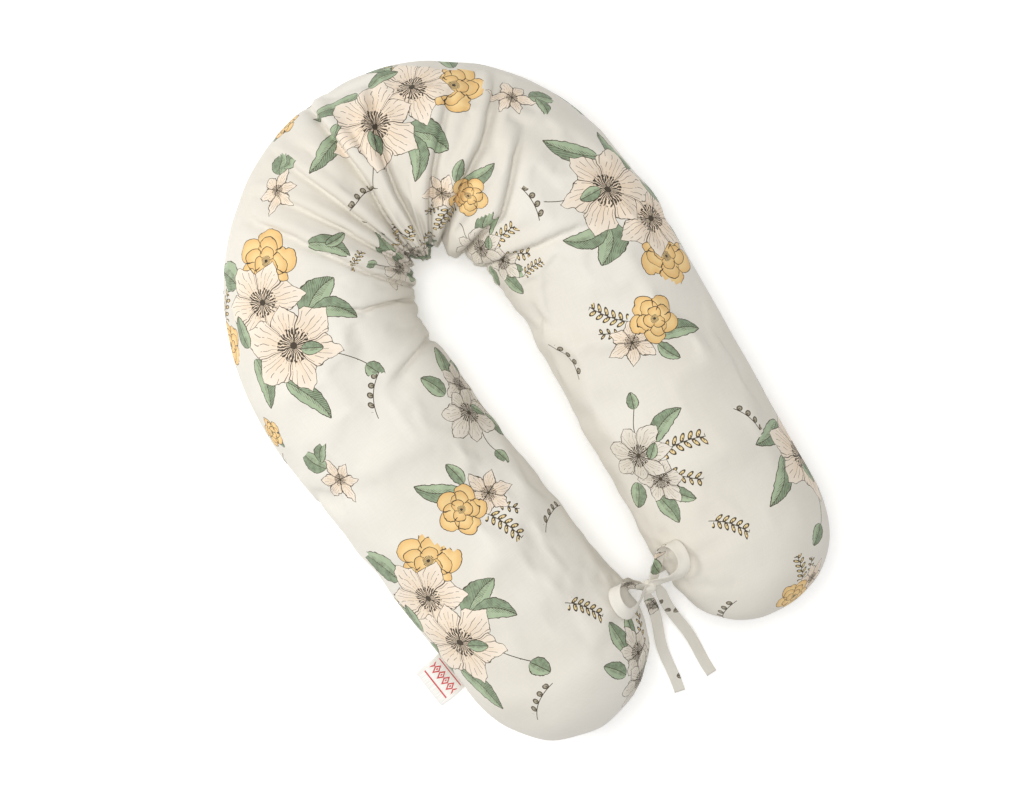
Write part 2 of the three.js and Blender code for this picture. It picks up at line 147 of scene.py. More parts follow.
def leg_stations(leg, count=400):
    """Rows of centre x and y, outward x and y, half width and half height, from the bend to the pole.

    Past the straight part, with a running from 0 to a right angle, the section is cos(a)^(2/n) times
    its full size at sin(a)^(2/n) of the tip's length, where n is the roundness."""
    straight = leg["length"] - TIP_LENGTH
    angle = np.linspace(0, math.pi / 2, count)
    reach = np.sin(angle) ** (2 / TIP_ROUNDNESS)
    share = np.cos(angle) ** (2 / TIP_ROUNDNESS)
    distance = np.concatenate([np.linspace(0, straight, count)[:-1], straight + TIP_LENGTH * reach])
    size = np.concatenate([np.ones(count - 1), share])
    place = leg_point(leg, distance)
    outward = np.tile(leg["outward"], (len(distance), 1))
    return np.column_stack([place, outward, leg["half_width"] * size, leg["half_height"] * size])


def bend_stations(count=800):
    """The same rows round the bend, from the left leg to the right one, sizes easing to the crown's."""
    first, last = math.pi + left_leg["overrun"], -right_leg["overrun"]
    angle = np.linspace(first, last, count)[1:-1]
    rise = np.clip(np.sin(angle), 0, 1)
    ease = rise * rise * (3 - 2 * rise)
    rows = []
    place = np.column_stack([BEND_HALF_WIDTH * np.cos(angle), BEND_DEPTH * np.sin(angle)]) + ORIGIN
    outward = np.column_stack([np.cos(angle) / BEND_HALF_WIDTH, np.sin(angle) / BEND_DEPTH])
    outward /= np.linalg.norm(outward, axis=1)[:, None]
    for key in ("half_width", "half_height"):
        start = np.where(angle > math.pi / 2, LEFT[key], RIGHT[key])
        rows.append(start + (CROWN[key] - start) * ease)
    return np.column_stack([place, outward, *rows])


dense_left = leg_stations(left_leg)[::-1]
dense_bend = bend_stations()
dense_right = leg_stations(right_leg)
dense = np.concatenate([dense_left, dense_bend, dense_right])
bend_share = np.concatenate([
    np.linspace(-1, 0, len(dense_left)),
    np.linspace(0, 1, len(dense_bend)),
    np.linspace(1, 2, len(dense_right)),
])
dense_edge = dense[:, 0:2] + dense[:, 2:4] * dense[:, 4:5]
edge_length = lengths_along(dense_edge)
OUTER_EDGE = edge_length[-1]
CENTRELINE = lengths_along(dense[:, 0:2])[-1]
print("centreline", round(float(CENTRELINE), 3), "m, outer edge", round(float(OUTER_EDGE), 3), "m")

# %% [markdown]
# ## The grid of the cover
#
# The cover is one closed tube of cloth, so it is a grid: rings along the line and corners round the
# section. The rings lie twice as close along the bend, where the folds are, as along the legs. The
# section is an ellipse cut flat where it rests on the floor. It starts at the outer seam, runs over
# the top to the inner seam, and comes back underneath, so that the upper and the lower panel are two
# blocks of columns.

# %% Grid of the cover
RINGS = 240
TOP_COLUMNS = 50
LOW_COLUMNS = 34
COLUMNS = TOP_COLUMNS + LOW_COLUMNS
POLE_CLEAR = 0.004  # from a tip's pole to its first ring, along the outer edge
CROWDED_REACH = 1.02  # the crowded rings reach this many half bends to each side of the crown

bend_middle = np.interp(0.5, bend_share, edge_length)
bend_reach = (np.interp(1, bend_share, edge_length) - np.interp(0, bend_share, edge_length)) / 2
sample_edge = np.linspace(POLE_CLEAR, OUTER_EDGE - POLE_CLEAR, 4000)
crowding = 1 + 1 / (1 + (np.abs(sample_edge - bend_middle) / (CROWDED_REACH * bend_reach)) ** 12)
ring_count = np.cumsum(crowding) - crowding[0]
ring_edge = np.interp(np.linspace(0, ring_count[-1], RINGS), ring_count, sample_edge)
stations = np.column_stack([np.interp(ring_edge, edge_length, column) for column in dense.T])
ring_share = np.interp(ring_edge, edge_length, bend_share)
ring_left_height = np.where(stations[:, 0] < ORIGIN[0], LEFT["half_height"], RIGHT["half_height"])
crown_ease = np.clip(1 - np.abs(ring_share - 0.5) * 2, 0, 1)
full_height = ring_left_height + (CROWN["half_height"] - ring_left_height) * crown_ease
seam_angle = np.arcsin((SEAM_HEIGHT - CENTRE_HEIGHT) / full_height)


def section_angles():
    """Angle round the section of every grid corner: 0 is straight outwards, a right angle is the top."""
    over = np.arange(TOP_COLUMNS) / TOP_COLUMNS
    under = np.arange(LOW_COLUMNS) / LOW_COLUMNS
    seam = seam_angle[:, None]
    upper = seam + (math.pi - 2 * seam) * over
    lower = math.pi - seam + (math.pi + 2 * seam) * under
    return np.concatenate([upper, lower], axis=1)


def tube(rows, angles):
    """Grid of points of the tube: centre + outward * half width * cos(angle), and the height is
    centre height + half height * sin(angle), but never under the floor."""
    across = rows[:, 4:5] * np.cos(angles)
    plan = rows[:, None, 0:2] + rows[:, None, 2:4] * across[:, :, None]
    height = np.maximum(CENTRE_HEIGHT + rows[:, 5:6] * np.sin(angles), 0)
    return np.concatenate([plan, height[:, :, None]], axis=2)


angles = section_angles()
smooth_tube = tube(stations, angles)


def outward_normals(points):
    """Unit normals of a grid that closes round its second axis: the cross product of its two slopes,
    turned round as a whole if the one on top of the crown would point down."""
    along = np.gradient(points, axis=0)
    wrapped = np.concatenate([points[:, -1:], points, points[:, :1]], axis=1)
    around = (wrapped[:, 2:] - wrapped[:, :-2]) / 2
    normal = np.cross(along, around)
    length = np.linalg.norm(normal, axis=2, keepdims=True)
    normal = normal / np.maximum(length, 1e-12)
    rings, columns = points.shape[:2]
    on_top_of_crown = normal[rings // 2, columns * TOP_COLUMNS // (2 * COLUMNS), 2]
    return -normal if on_top_of_crown < 0 else normal


normals = outward_normals(smooth_tube)
print("grid", RINGS, "x", COLUMNS)

# %% [markdown]
# ## Creases and lumps
#
# A straight tube that is bent has too much cloth on the inside of the bend, and it goes into folds
# that fan out from there. A fold is a tuck: a narrow valley, steep on the side that faces the middle
# of the bend, with a raised shoulder beyond that side. Each one is written down as a short path over
# the bend, and the height that it adds depends only on the distance from that path. The filling also
# lies in soft lumps, which a few slow waves describe.

# %% Fold profile
along_slope = np.linalg.norm(np.gradient(smooth_tube, axis=0), axis=2)
share_slope = np.gradient(ring_share)[:, None]
metres_per_share = along_slope / np.maximum(share_slope, 1e-6)


def fold(path, depth, width=0.0045):
    """Height that one fold adds to the grid.

    path is rows of (share along the bend, angle round the section in degrees, strength 0 to 1).
    Across it, with d the distance from the path: -depth * exp(-(d / (k * width)) ^ 1.1), where k is
    0.55 on the side that faces the middle of the bend and 1.9 on the other. The steep side swells
    beyond the valley: 0.42 * depth * exp(-((d - 2.4 width) / (1.6 width)) ^ 2)."""
    share, angle, strength = np.array(path, float).T
    turn = np.degrees(angles)
    line = np.interp(turn, angle, share)
    power = np.interp(turn, angle, strength, left=0, right=0)
    signed = (ring_share[:, None] - line) * metres_per_share * (1 if share[-1] < 0.5 else -1)
    steep = signed > 0
    distance = np.abs(signed)
    valley = -np.exp(-((distance / np.where(steep, 0.55 * width, 1.9 * width)) ** 1.1))
    shoulder = 0.42 * np.exp(-(((distance - 2.4 * width) / (1.6 * width)) ** 2)) * steep
    return depth * power * (valley + shoulder)


FOLDS = [
    (0.0060, [(0.33, 30, 0.0), (0.32, 45, 0.35), (0.31, 76, 0.7), (0.285, 105, 0.9),
              (0.24, 145, 1), (0.23, 190, 1), (0.23, 215, 0)]),
    (0.0060, [(0.35, 20, 0.0), (0.36, 45, 0.4), (0.36, 71, 0.6), (0.355, 102, 0.9),
              (0.33, 143, 1), (0.32, 190, 1), (0.32, 215, 0)]),
    (0.0075, [(0.415, 22, 0.0), (0.41, 55, 0.5), (0.405, 90, 0.8), (0.395, 120, 1),
              (0.38, 143, 1), (0.375, 195, 1), (0.375, 220, 0)]),
    (0.0105, [(0.487, -5, 0.0), (0.485, 15, 0.5), (0.483, 71, 0.8), (0.48, 102, 1),
              (0.43, 154, 1), (0.43, 200, 1), (0.43, 225, 0)]),
    (0.0105, [(0.565, 30, 0.0), (0.56, 47, 0.5), (0.546, 76, 0.85), (0.535, 114, 1),
              (0.55, 166, 1), (0.55, 205, 1), (0.55, 225, 0)]),
    (0.0080, [(0.672, 48, 0.0), (0.67, 65, 0.5), (0.66, 88, 0.9), (0.64, 118, 1),
              (0.62, 166, 1), (0.62, 200, 0.8), (0.62, 222, 0)]),
    (0.0095, [(0.725, 25, 0.0), (0.73, 40, 0.5), (0.74, 83, 0.9), (0.72, 119, 1),
              (0.68, 172, 1), (0.68, 200, 0.8), (0.68, 222, 0)]),
    (0.0075, [(0.79, 60, 0.0), (0.80, 82, 0.8), (0.84, 119, 1), (0.79, 166, 1),
              (0.79, 195, 0.7), (0.79, 215, 0)]),
    (0.0045, [(0.97, 75, 0.0), (0.96, 87, 0.5), (0.94, 117, 1), (0.88, 166, 1), (0.88, 200, 0)]),
    (0.0050, [(0.175, 95, 0.0), (0.175, 105, 0.5), (0.17, 119, 1), (0.18, 155, 1), (0.18, 200, 0)]),
    (0.0045, [(-0.005, 110, 0.0), (0.0, 123, 0.8), (0.04, 164, 1), (0.04, 205, 0)]),
    (0.0040, [(0.585, 100, 0.0), (0.585, 130, 0.8), (0.59, 170, 1), (0.59, 205, 0)]),
    (0.0040, [(0.455, 108, 0.0), (0.455, 135, 0.8), (0.46, 170, 1), (0.46, 205, 0)]),
    (0.0045, [(0.28, 115, 0.0), (0.285, 135, 0.8), (0.28, 168, 1), (0.28, 205, 0)]),
    (0.0035, [(0.51, 60, 0.0), (0.515, 80, 0.6), (0.515, 100, 0.0)]),
    (0.0035, [(0.44, 40, 0.0), (0.445, 60, 0.7), (0.44, 85, 0.0)]),
    (0.0022, [(1.40, 100, 0.0), (1.44, 125, 0.7), (1.50, 160, 1), (1.53, 185, 1), (1.53, 200, 0)]),
    (0.0022, [(1.52, 95, 0.0), (1.53, 125, 0.7), (1.535, 160, 1), (1.54, 185, 1), (1.54, 200, 0)]),
    (0.0020, [(1.68, 105, 0.0), (1.64, 125, 0.7), (1.58, 160, 1), (1.55, 185, 1), (1.55, 200, 0)]),
    (0.0020, [(-0.42, 105, 0.0), (-0.45, 125, 0.7), (-0.50, 160, 1), (-0.53, 185, 1), (-0.53, 200, 0)]),
    (0.0020, [(-0.60, 105, 0.0), (-0.59, 125, 0.7), (-0.56, 160, 1), (-0.54, 185, 1), (-0.54, 200, 0)]),
]
FOLD_GAIN = 1.45
SHOULDER_CAP = 0.0042  # where folds crowd together, their shoulders add up to no more than this
fold_height = FOLD_GAIN * sum(fold(path, depth) for depth, path in FOLDS)
fold_height = np.where(fold_height > 0, SHOULDER_CAP * np.tanh(fold_height / SHOULDER_CAP), fold_height)

# %% Lumps and gathers
def waves(x, y, terms):
    """Sum of slow waves: each term is strength * sin(2 pi (x / length_x + y / length_y) + phase)."""
    total = 0
    for strength, length_x, length_y, phase in terms:
        total = total + strength * np.sin(2 * math.pi * (x / length_x + y / length_y) + phase)
    return total


SECTION_RADIUS = 0.1  # a round number near the section's own, for turning angles into metres
FLOOR_FADE = 0.02     # folds fade out over this height above the floor
ring_length = ring_edge[:, None] + 0 * angles
girth = angles * SECTION_RADIUS
lumps = waves(ring_length, girth, [
    (0.0010, 0.31, 0.52, 0.4), (0.0008, 0.19, -0.36, 1.9), (0.0005, 0.118, 0.29, 4.2),
    (0.0004, 0.083, -0.21, 2.5), (0.0003, 0.055, 0.17, 5.1),
])
inner_side = np.exp(-(((np.degrees(angles) - 178) / 26) ** 2))
gathers = inner_side * waves(ring_length, girth, [
    (0.0005, 0.041, 0.4, 0.0), (0.0003, 0.027, -0.5, 1.2), (0.0005, 0.064, 0.3, 3.3),
])
underneath = np.clip(smooth_tube[:, :, 2] / FLOOR_FADE, 0, 1)

# %% Calm places
GROOVE_DEPTH = 0.0014    # the seam pulls the cloth in by this much
GROOVE_WIDTH = 0.004
TIP_CALM = 0.08          # the lumps fade out over this length at the tips
ZIP_CLEAR, ZIP_FADE = 0.01, 0.03  # the calm place at the zip goes past its leg's ends, and fades there
STRAIGHT_RIGHT = right_leg["length"] - TIP_LENGTH
wrapped_angle = (np.degrees(angles) + 180) % 360 - 180
right_distance = (ring_edge - np.interp(1, bend_share, edge_length))[:, None]
zip_start = np.clip((right_distance + ZIP_CLEAR) / ZIP_FADE, 0, 1)
zip_ends = zip_start * np.clip((STRAIGHT_RIGHT + ZIP_CLEAR - right_distance) / ZIP_FADE, 0, 1)
at_zip = zip_ends * np.exp(-(((wrapped_angle + 18) / 36) ** 4))
seam_distance = np.minimum(
    np.abs(angles - seam_angle[:, None]), np.abs(angles - (math.pi - seam_angle[:, None]))
)
seam_distance = np.minimum(seam_distance, np.abs(angles - 2 * math.pi - seam_angle[:, None]))
seam_groove = -GROOVE_DEPTH * np.exp(-((seam_distance * SECTION_RADIUS / GROOVE_WIDTH) ** 2))
from_tip = np.minimum(ring_edge, OUTER_EDGE - ring_edge)
tip_calm = np.clip(from_tip / TIP_CALM, 0, 1)[:, None]
relief = (fold_height + gathers * tip_calm + lumps * tip_calm) * underneath + seam_groove
relief = relief * (1 - at_zip)
creased_tube = smooth_tube + normals * relief[:, :, None]
print("deepest fold", round(float(fold_height.min()) * 1000, 1), "mm")

# %% [markdown]
# ## Settling the cloth
#
# Drawn folds are too even. A short cloth simulation loosens them: the tube is cut a little less bent
# than it lies, so the inside of the bend has cloth to spare, and air pressure stands for the filling.
# The simulation only moves each point a few millimetres, and less on the straight legs, at the tips
# and near the zip, whose place is fixed.

# %% Mesh helpers
def tube_faces(rings, columns, columns_close=True):
    """Quads of a grid of rings by columns, as rows of four vertex numbers."""
    last = columns if columns_close else columns - 1
    ring = np.arange(rings - 1)[:, None] * columns
    here = np.arange(last)[None, :]
    there = (here + 1) % columns
    quads = np.stack([ring + here, ring + columns + here, ring + columns + there, ring + there], axis=2)
    return quads.reshape(-1, 4)


def new_object(name, points, faces):
    """A mesh object at the origin from an array of points and lists of faces."""
    mesh = bpy.data.meshes.new(name)
    mesh.from_pydata(np.asarray(points, float).reshape(-1, 3).tolist(), [], faces)
    mesh.update()
    made = bpy.data.objects.new(name, mesh)
    bpy.context.scene.collection.objects.link(made)
    return made


def shade_smooth(made):
    """Smooth shading on every face."""
    made.data.polygons.foreach_set("use_smooth", [True] * len(made.data.polygons))


def closed_tube_mesh(points):
    """Points and faces of a tube grid with a fan of triangles to a pole at each end."""
    rings, columns = points.shape[:2]
    poles = np.array([points[0].mean(axis=0), points[-1].mean(axis=0)])
    flat = np.concatenate([points.reshape(-1, 3), poles])
    here = np.arange(columns)
    there = (here + 1) % columns
    last = (rings - 1) * columns
    first_fan = np.stack([np.full(columns, rings * columns), here, there], axis=1)
    last_fan = np.stack([np.full(columns, rings * columns + 1), last + there, last + here], axis=1)
    return flat, tube_faces(rings, columns).tolist() + first_fan.tolist() + last_fan.tolist()


# %% The less bent cut
UNBENT = 0.93  # share of the bend's turning that the cloth is cut with

def less_bent(points):
    """The tube with its bend opened: each ring keeps its shape and is turned back by its share.

    The line half a section outside the centreline keeps its length, so only the inside grows."""
    turn = np.unwrap(np.arctan2(stations[:, 3], stations[:, 2]))
    middle = turn[RINGS // 2]
    change = (UNBENT - 1) * (turn - middle)
    reach = LEFT["half_width"]
    edge = stations[:, 0:2] + stations[:, 2:4] * reach
    step = np.diff(edge, axis=0)
    mean_change = (change[1:] + change[:-1]) / 2
    cos, sin = np.cos(mean_change), np.sin(mean_change)
    turned = np.column_stack([cos * step[:, 0] - sin * step[:, 1], sin * step[:, 0] + cos * step[:, 1]])
    new_edge = edge[0] + np.concatenate([[[0, 0]], np.cumsum(turned, axis=0)])
    local = points[:, :, 0:2] - edge[:, None]
    cos, sin = np.cos(change)[:, None], np.sin(change)[:, None]
    plan = np.stack([
        cos * local[:, :, 0] - sin * local[:, :, 1],
        sin * local[:, :, 0] + cos * local[:, :, 1],
    ], axis=2)
    return np.concatenate([plan + new_edge[:, None], points[:, :, 2:]], axis=2)


# %% Cloth simulation
SETTLE_FRAMES = 20
SETTLE_CAP = 0.010
INNER_CALM = 0.65  # how much less the cloth may move on the inside of the bend, where it is crowded

def settle(points, rest):
    """The grid after a short cloth simulation under pressure, with rest as the shape it was cut to."""
    flat, faces = closed_tube_mesh(points)
    body = new_object("settling", flat, faces)
    body.shape_key_add(name="Basis")
    cut = body.shape_key_add(name="cut")
    rest_flat, _ = closed_tube_mesh(rest)
    cut.data.foreach_set("co", rest_flat.astype(np.float32).ravel())
    cloth = body.modifiers.new("cloth", "CLOTH")
    settings = cloth.settings
    settings.quality = 6
    settings.mass = 0.2
    settings.tension_stiffness = 20
    settings.compression_stiffness = 20
    settings.shear_stiffness = 8
    settings.bending_stiffness = 0.6
    settings.air_damping = 2
    settings.use_pressure = True
    settings.uniform_pressure_force = 4
    settings.effector_weights.gravity = 0
    settings.rest_shape_key = cut
    cloth.collision_settings.use_collision = False
    cloth.collision_settings.use_self_collision = False
    cloth.point_cache.frame_start = 1
    cloth.point_cache.frame_end = SETTLE_FRAMES
    for number in range(1, SETTLE_FRAMES + 1):
        bpy.context.scene.frame_set(number)
    moved = body.evaluated_get(bpy.context.evaluated_depsgraph_get()).data
    out = np.empty(len(moved.vertices) * 3, np.float32)
    moved.vertices.foreach_get("co", out)
    bpy.context.scene.frame_set(1)
    bpy.data.objects.remove(body)
    return out.reshape(-1, 3)[:-2].reshape(points.shape).astype(float)


# %% Settle the cover
def blurred(values, passes=60):
    """A slow version of a grid of values: each pass averages every corner with its four neighbours."""
    for _ in range(passes):
        around = (np.roll(values, 1, axis=1) + np.roll(values, -1, axis=1)) / 2
        padded = np.concatenate([values[:1], values, values[-1:]])
        along = (padded[:-2] + padded[2:]) / 2
        values = (2 * values + around + along) / 4
    return values


POLE_CALM = 0.05     # the cloth holds still over this length at the tips
LEG_LOOSENESS = 0.28  # share of the simulated shift that the straight legs keep
on_bend = np.clip(1.25 - np.abs(ring_share - 0.5) * 1.25, 0, 1)[:, None]
looseness = (LEG_LOOSENESS + (1 - LEG_LOOSENESS) * on_bend) * (1 - at_zip)
pole_calm = np.clip(from_tip / POLE_CALM, 0, 1)[:, None]
settled_tube = creased_tube
shift = settle(creased_tube, less_bent(creased_tube)) - creased_tube
print("the cloth moved up to", round(float(np.abs(shift).max()) * 1000, 1), "mm")
shift -= blurred(shift)
print("of which folds and puckers", round(float(np.abs(shift).max()) * 1000, 1), "mm")
crowded = np.broadcast_to(np.maximum(inner_side, 0), shift.shape[:2])[:, :, None]
shift += (blurred(shift, 5) - shift) * crowded
length = np.linalg.norm(shift, axis=2, keepdims=True)
cap = SETTLE_CAP * (1 - INNER_CALM * crowded)
shift *= cap * np.tanh(length / cap) / np.maximum(length, 1e-9)
settled_tube = creased_tube + shift * (looseness * pole_calm * underneath)[:, :, None]

# %% Straighten what turned over
TURNED = 0.3  # cloth whose normal leans further than this cosine from the smooth tube's has turned over

for _ in range(4):
    lean = (outward_normals(settled_tube) * normals).sum(axis=2)
    near_turned = np.clip(5 * blurred((lean < TURNED) * 1.0, 6), 0, 1)[:, :, None]
    settled_tube = settled_tube + (creased_tube - settled_tube) * near_turned
    print("corners turned over", int((lean < TURNED).sum()))

# %% Keep the outline
OUTLINE_SLACK = 0.0016  # how far a bulge may stand past the mechanical model at the flanks
OUTLINE_PULL = 0.0028   # how far the cloth draws in on the outer side of the left leg and the bend
CROWN_PULL = 0.0030     # how much more it does at the top of the bend
TIP_PULL = 0.0050       # how far it draws in at the left tip
flank = np.exp(-((wrapped_angle / 55) ** 4))
left_side = np.clip((0.62 - ring_share) / 0.15, 0, 1)[:, None]
left_tip = np.exp(-((ring_edge / 0.20) ** 4))[:, None]
proud = ((settled_tube - smooth_tube) * normals).sum(axis=2)
held_back = np.where(proud > 0, OUTLINE_SLACK * np.tanh(proud / OUTLINE_SLACK) - proud, 0)
crown = np.exp(-(((ring_share - 0.5) / 0.24) ** 4))[:, None]
pull = OUTLINE_PULL * left_side * (1 - left_tip) + CROWN_PULL * crown + TIP_PULL * left_tip
settled_tube = settled_tube + normals * ((held_back - pull) * flank)[:, :, None]
settled_tube[:, :, 2] = np.maximum(settled_tube[:, :, 2], 0)

# %% [markdown]
# ## From one tube to two panels
#
# The grid is made twice as fine by putting a smooth midpoint between every two corners. The columns
# from the outer seam over the top to the inner seam are the upper panel, and the rest is the lower.

# %% Finer grid
def finer_around(points):
    """Twice the columns of a closed grid: each midpoint is 9/16 of its two neighbours less 1/16 of
    the next two."""
    before, after = np.roll(points, 1, axis=1), np.roll(points, -1, axis=1)
    beyond = np.roll(points, -2, axis=1)
    middle = (9 * (points + after) - before - beyond) / 16
    return np.stack([points, middle], axis=2).reshape(points.shape[0], -1, points.shape[2])


def finer_along(points):
    """The same between rings, with the two end rings repeated past the ends."""
    padded = np.concatenate([points[:1], points, points[-1:]])
    middle = (9 * (padded[1:-2] + padded[2:-1]) - padded[:-3] - padded[3:]) / 16
    mixed = np.empty((2 * len(points) - 1, *points.shape[1:]))
    mixed[0::2] = points
    mixed[1::2] = middle
    return mixed


fine_tube = finer_around(finer_along(settled_tube))
fine_edge = finer_along(ring_edge[:, None])[:, 0]
fine_share = np.interp(fine_edge, edge_length, bend_share)
fine_tube[:, :, 2] = np.maximum(fine_tube[:, :, 2], 0)
fine_normals = outward_normals(fine_tube)
FINE_RINGS, FINE_COLUMNS = fine_tube.shape[:2]
fine_angles = np.concatenate([
    np.linspace(seam_angle[0], math.pi - seam_angle[0], 2 * TOP_COLUMNS, endpoint=False),
    np.linspace(math.pi - seam_angle[0], 2 * math.pi + seam_angle[0], 2 * LOW_COLUMNS, endpoint=False),
])
print("fine grid", FINE_RINGS, "x", FINE_COLUMNS)


# %% Creases
CREASE_DEPTH = 0.0026
CREASE_WIDTH = 0.0026


def crease(path):
    """The line at the bottom of a fold, on the fine grid: -depth * strength * exp(-(d / width)^2),
    with d the distance from the fold's path."""
    share, angle, strength = np.array(path, float).T
    turn = np.degrees(fine_angles)
    line = np.interp(turn, angle, share)
    power = np.interp(turn, angle, strength, left=0, right=0)
    spacing = np.linalg.norm(np.gradient(fine_tube, axis=0), axis=2)
    distance = np.abs(fine_share[:, None] - line) * spacing / np.gradient(fine_share)[:, None]
    return -CREASE_DEPTH * power * np.exp(-((distance / CREASE_WIDTH) ** 2))


FULL_CREASE_FOLD = 0.007  # a fold this deep has a crease of full depth
crease_height = sum(crease(path) * min(depth / FULL_CREASE_FOLD, 1.2) for depth, path in FOLDS)
crease_height *= np.clip(fine_tube[:, :, 2] / FLOOR_FADE, 0, 1)
fine_tube += fine_normals * crease_height[:, :, None]
fine_normals = outward_normals(fine_tube)
print("deepest crease", round(float(crease_height.min()) * 1000, 1), "mm")

# %% Panels
COVER_THICKNESS = 0.0011

def panel(name, points, tube):
    """An open strip of a tube's grid as one mesh, closed with a fan at each tip's pole, which is the
    middle of the tube's whole end ring, so that the two panels meet there."""
    rings, columns = points.shape[:2]
    poles = np.array([tube[0].mean(axis=0), tube[-1].mean(axis=0)])
    flat = np.concatenate([points.reshape(-1, 3), poles])
    here = np.arange(columns - 1)
    last = (rings - 1) * columns
    first_fan = np.stack([np.full(columns - 1, rings * columns), here, here + 1], axis=1)
    last_fan = np.stack([np.full(columns - 1, rings * columns + 1), last + here + 1, last + here], axis=1)
    quads = tube_faces(rings, columns, columns_close=False)
    made = new_object(name, flat, quads.tolist() + first_fan.tolist() + last_fan.tolist())
    middle = made.data.polygons[rings // 2 * (columns - 1) + columns // 2]
    ring_middle = (points[rings // 2, 0] + points[rings // 2, -1]) / 2
    if np.dot(middle.normal, np.array(middle.center) - ring_middle) < 0:
        made.data.flip_normals()
        print(name, "faces turned outwards")
    return made


def thicken(made, thickness):
    """A wall inwards from the modelled face, with its rim closed."""
    wall = made.modifiers.new("wall", "SOLIDIFY")
    wall.thickness = thickness
    wall.offset = -1
    wall.use_rim = True


# %% Opening for the zip
ZIP_GAP = 0.0054
ZIP_GAP_EASE = 0.012  # the opening closes over this length at each end
ZIP_END_CLEAR = 0.022
ZIP_HALF = (STRAIGHT_RIGHT - 2 * ZIP_END_CLEAR) / 2
EDGE_COLUMNS = 9
from_zip_middle = np.abs(fine_edge - np.interp(1, bend_share, edge_length) - STRAIGHT_RIGHT / 2)
ease = np.clip((ZIP_HALF - from_zip_middle) / ZIP_GAP_EASE, 0, 1)
opening = ZIP_GAP * ease * ease * (3 - 2 * ease)


def slid_edge(points, distance):
    """A panel whose first column is pulled in by distance, ring by ring; the next few columns close
    up evenly behind it, all on the panel's own surface."""
    spacing = np.linalg.norm(points[:, 1] - points[:, 0], axis=1)[:, None]
    number = np.arange(EDGE_COLUMNS)[None, :]
    place = number + distance[:, None] * (1 - number / (EDGE_COLUMNS - 1)) / spacing
    low = np.minimum(place.astype(int), EDGE_COLUMNS - 1)
    part = (place - low)[:, :, None]
    near = np.take_along_axis(points, low[:, :, None], axis=1)
    far = np.take_along_axis(points, low[:, :, None] + 1, axis=1)
    moved = points.copy()
    moved[:, :EDGE_COLUMNS] = near * (1 - part) + far * part
    return moved


top_end = 2 * TOP_COLUMNS
top_points = slid_edge(fine_tube[:, : top_end + 1], opening)
low_points = np.concatenate([fine_tube[:, top_end:], fine_tube[:, :1]], axis=1)
low_points = slid_edge(low_points[:, ::-1], opening)[:, ::-1]
cover_top = panel("printed_cover_top", top_points, fine_tube)
cover_low = panel("printed_cover_bottom", low_points, fine_tube)
for made in (cover_top, cover_low):
    thicken(made, COVER_THICKNESS)
    shade_smooth(made)
    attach(made, "pillow_body")
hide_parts("cover_top_panel")
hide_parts("cover_bottom_panel")

# %% [markdown]
# ## A small language for shader nodes
#
# The print is arithmetic: a leaf is the set of points whose distance from its rib is less than its
# width there. In Blender that is a chain of Math nodes. Written one by one they hide the idea, so a
# small class wraps a node tree: every call adds a node and gives back its output.

# %% Node helpers
def srgb(red, green, blue):
    """A screen colour of 0 to 255 as the linear colour that shaders use."""
    value = np.array([red, green, blue]) / 255
    linear = np.where(value <= 0.04045, value / 12.92, ((value + 0.055) / 1.055) ** 2.4)
    return (*linear.tolist(), 1.0)


class Sums:
    """Adds nodes to a tree. Numbers and outputs mix freely as arguments."""

    def __init__(self, tree):
        self.tree = tree

    def add(self, kind, **values):
        node = self.tree.nodes.new(kind)
        for name, value in values.items():
            setattr(node, name, value)
        return node

    def put(self, value, socket):
        if isinstance(value, bpy.types.NodeSocket):
            self.tree.links.new(value, socket)
        else:
            socket.default_value = value

    def math(self, operation, *terms):
        node = self.add("ShaderNodeMath", operation=operation)
        for term, socket in zip(terms, node.inputs):
            self.put(term, socket)
        return node.outputs[0]

    def plus(self, a, b):
        return self.math("ADD", a, b)

    def minus(self, a, b):
        return self.math("SUBTRACT", a, b)

    def times(self, a, b):
        return self.math("MULTIPLY", a, b)

    def over(self, a, b):
        return self.math("DIVIDE", a, b)

    def power(self, a, b):
        return self.math("POWER", a, b)

    def size(self, a):
        return self.math("ABSOLUTE", a)

    def less(self, a, b):
        return self.math("LESS_THAN", a, b)

    def more(self, a, b):
        return self.math("GREATER_THAN", a, b)

    def either(self, a, b):
        return self.math("MAXIMUM", a, b)

    def split(self, vector):
        node = self.add("ShaderNodeSeparateXYZ")
        self.put(vector, node.inputs[0])
        return node.outputs[0], node.outputs[1]

    def noise(self, vector, scale, detail=2.0):
        node = self.add("ShaderNodeTexNoise")
        self.put(vector, node.inputs["Vector"])
        self.put(scale, node.inputs["Scale"])
        node.inputs["Detail"].default_value = detail
        return node.outputs["Fac"]

    def mix(self, share, first, second):
        node = self.add("ShaderNodeMix", data_type="RGBA")
        self.put(share, node.inputs[0])
        self.put(first, node.inputs[6])
        self.put(second, node.inputs[7])
        return node.outputs[2]

    def ramp(self, value, low, high, low_out=0.0, high_out=1.0):
        node = self.add("ShaderNodeMapRange", interpolation_type="SMOOTHSTEP")
        for item, socket in zip((value, low, high, low_out, high_out), node.inputs):
            self.put(item, socket)
        return node.outputs[0]


def bump_node(s, height, strength, distance):
    """A Bump node whose height is a distance in metres times the given output."""
    bump = s.add("ShaderNodeBump")
    bump.inputs["Strength"].default_value = strength
    bump.inputs["Distance"].default_value = distance
    s.put(height, bump.inputs["Height"])
    return bump


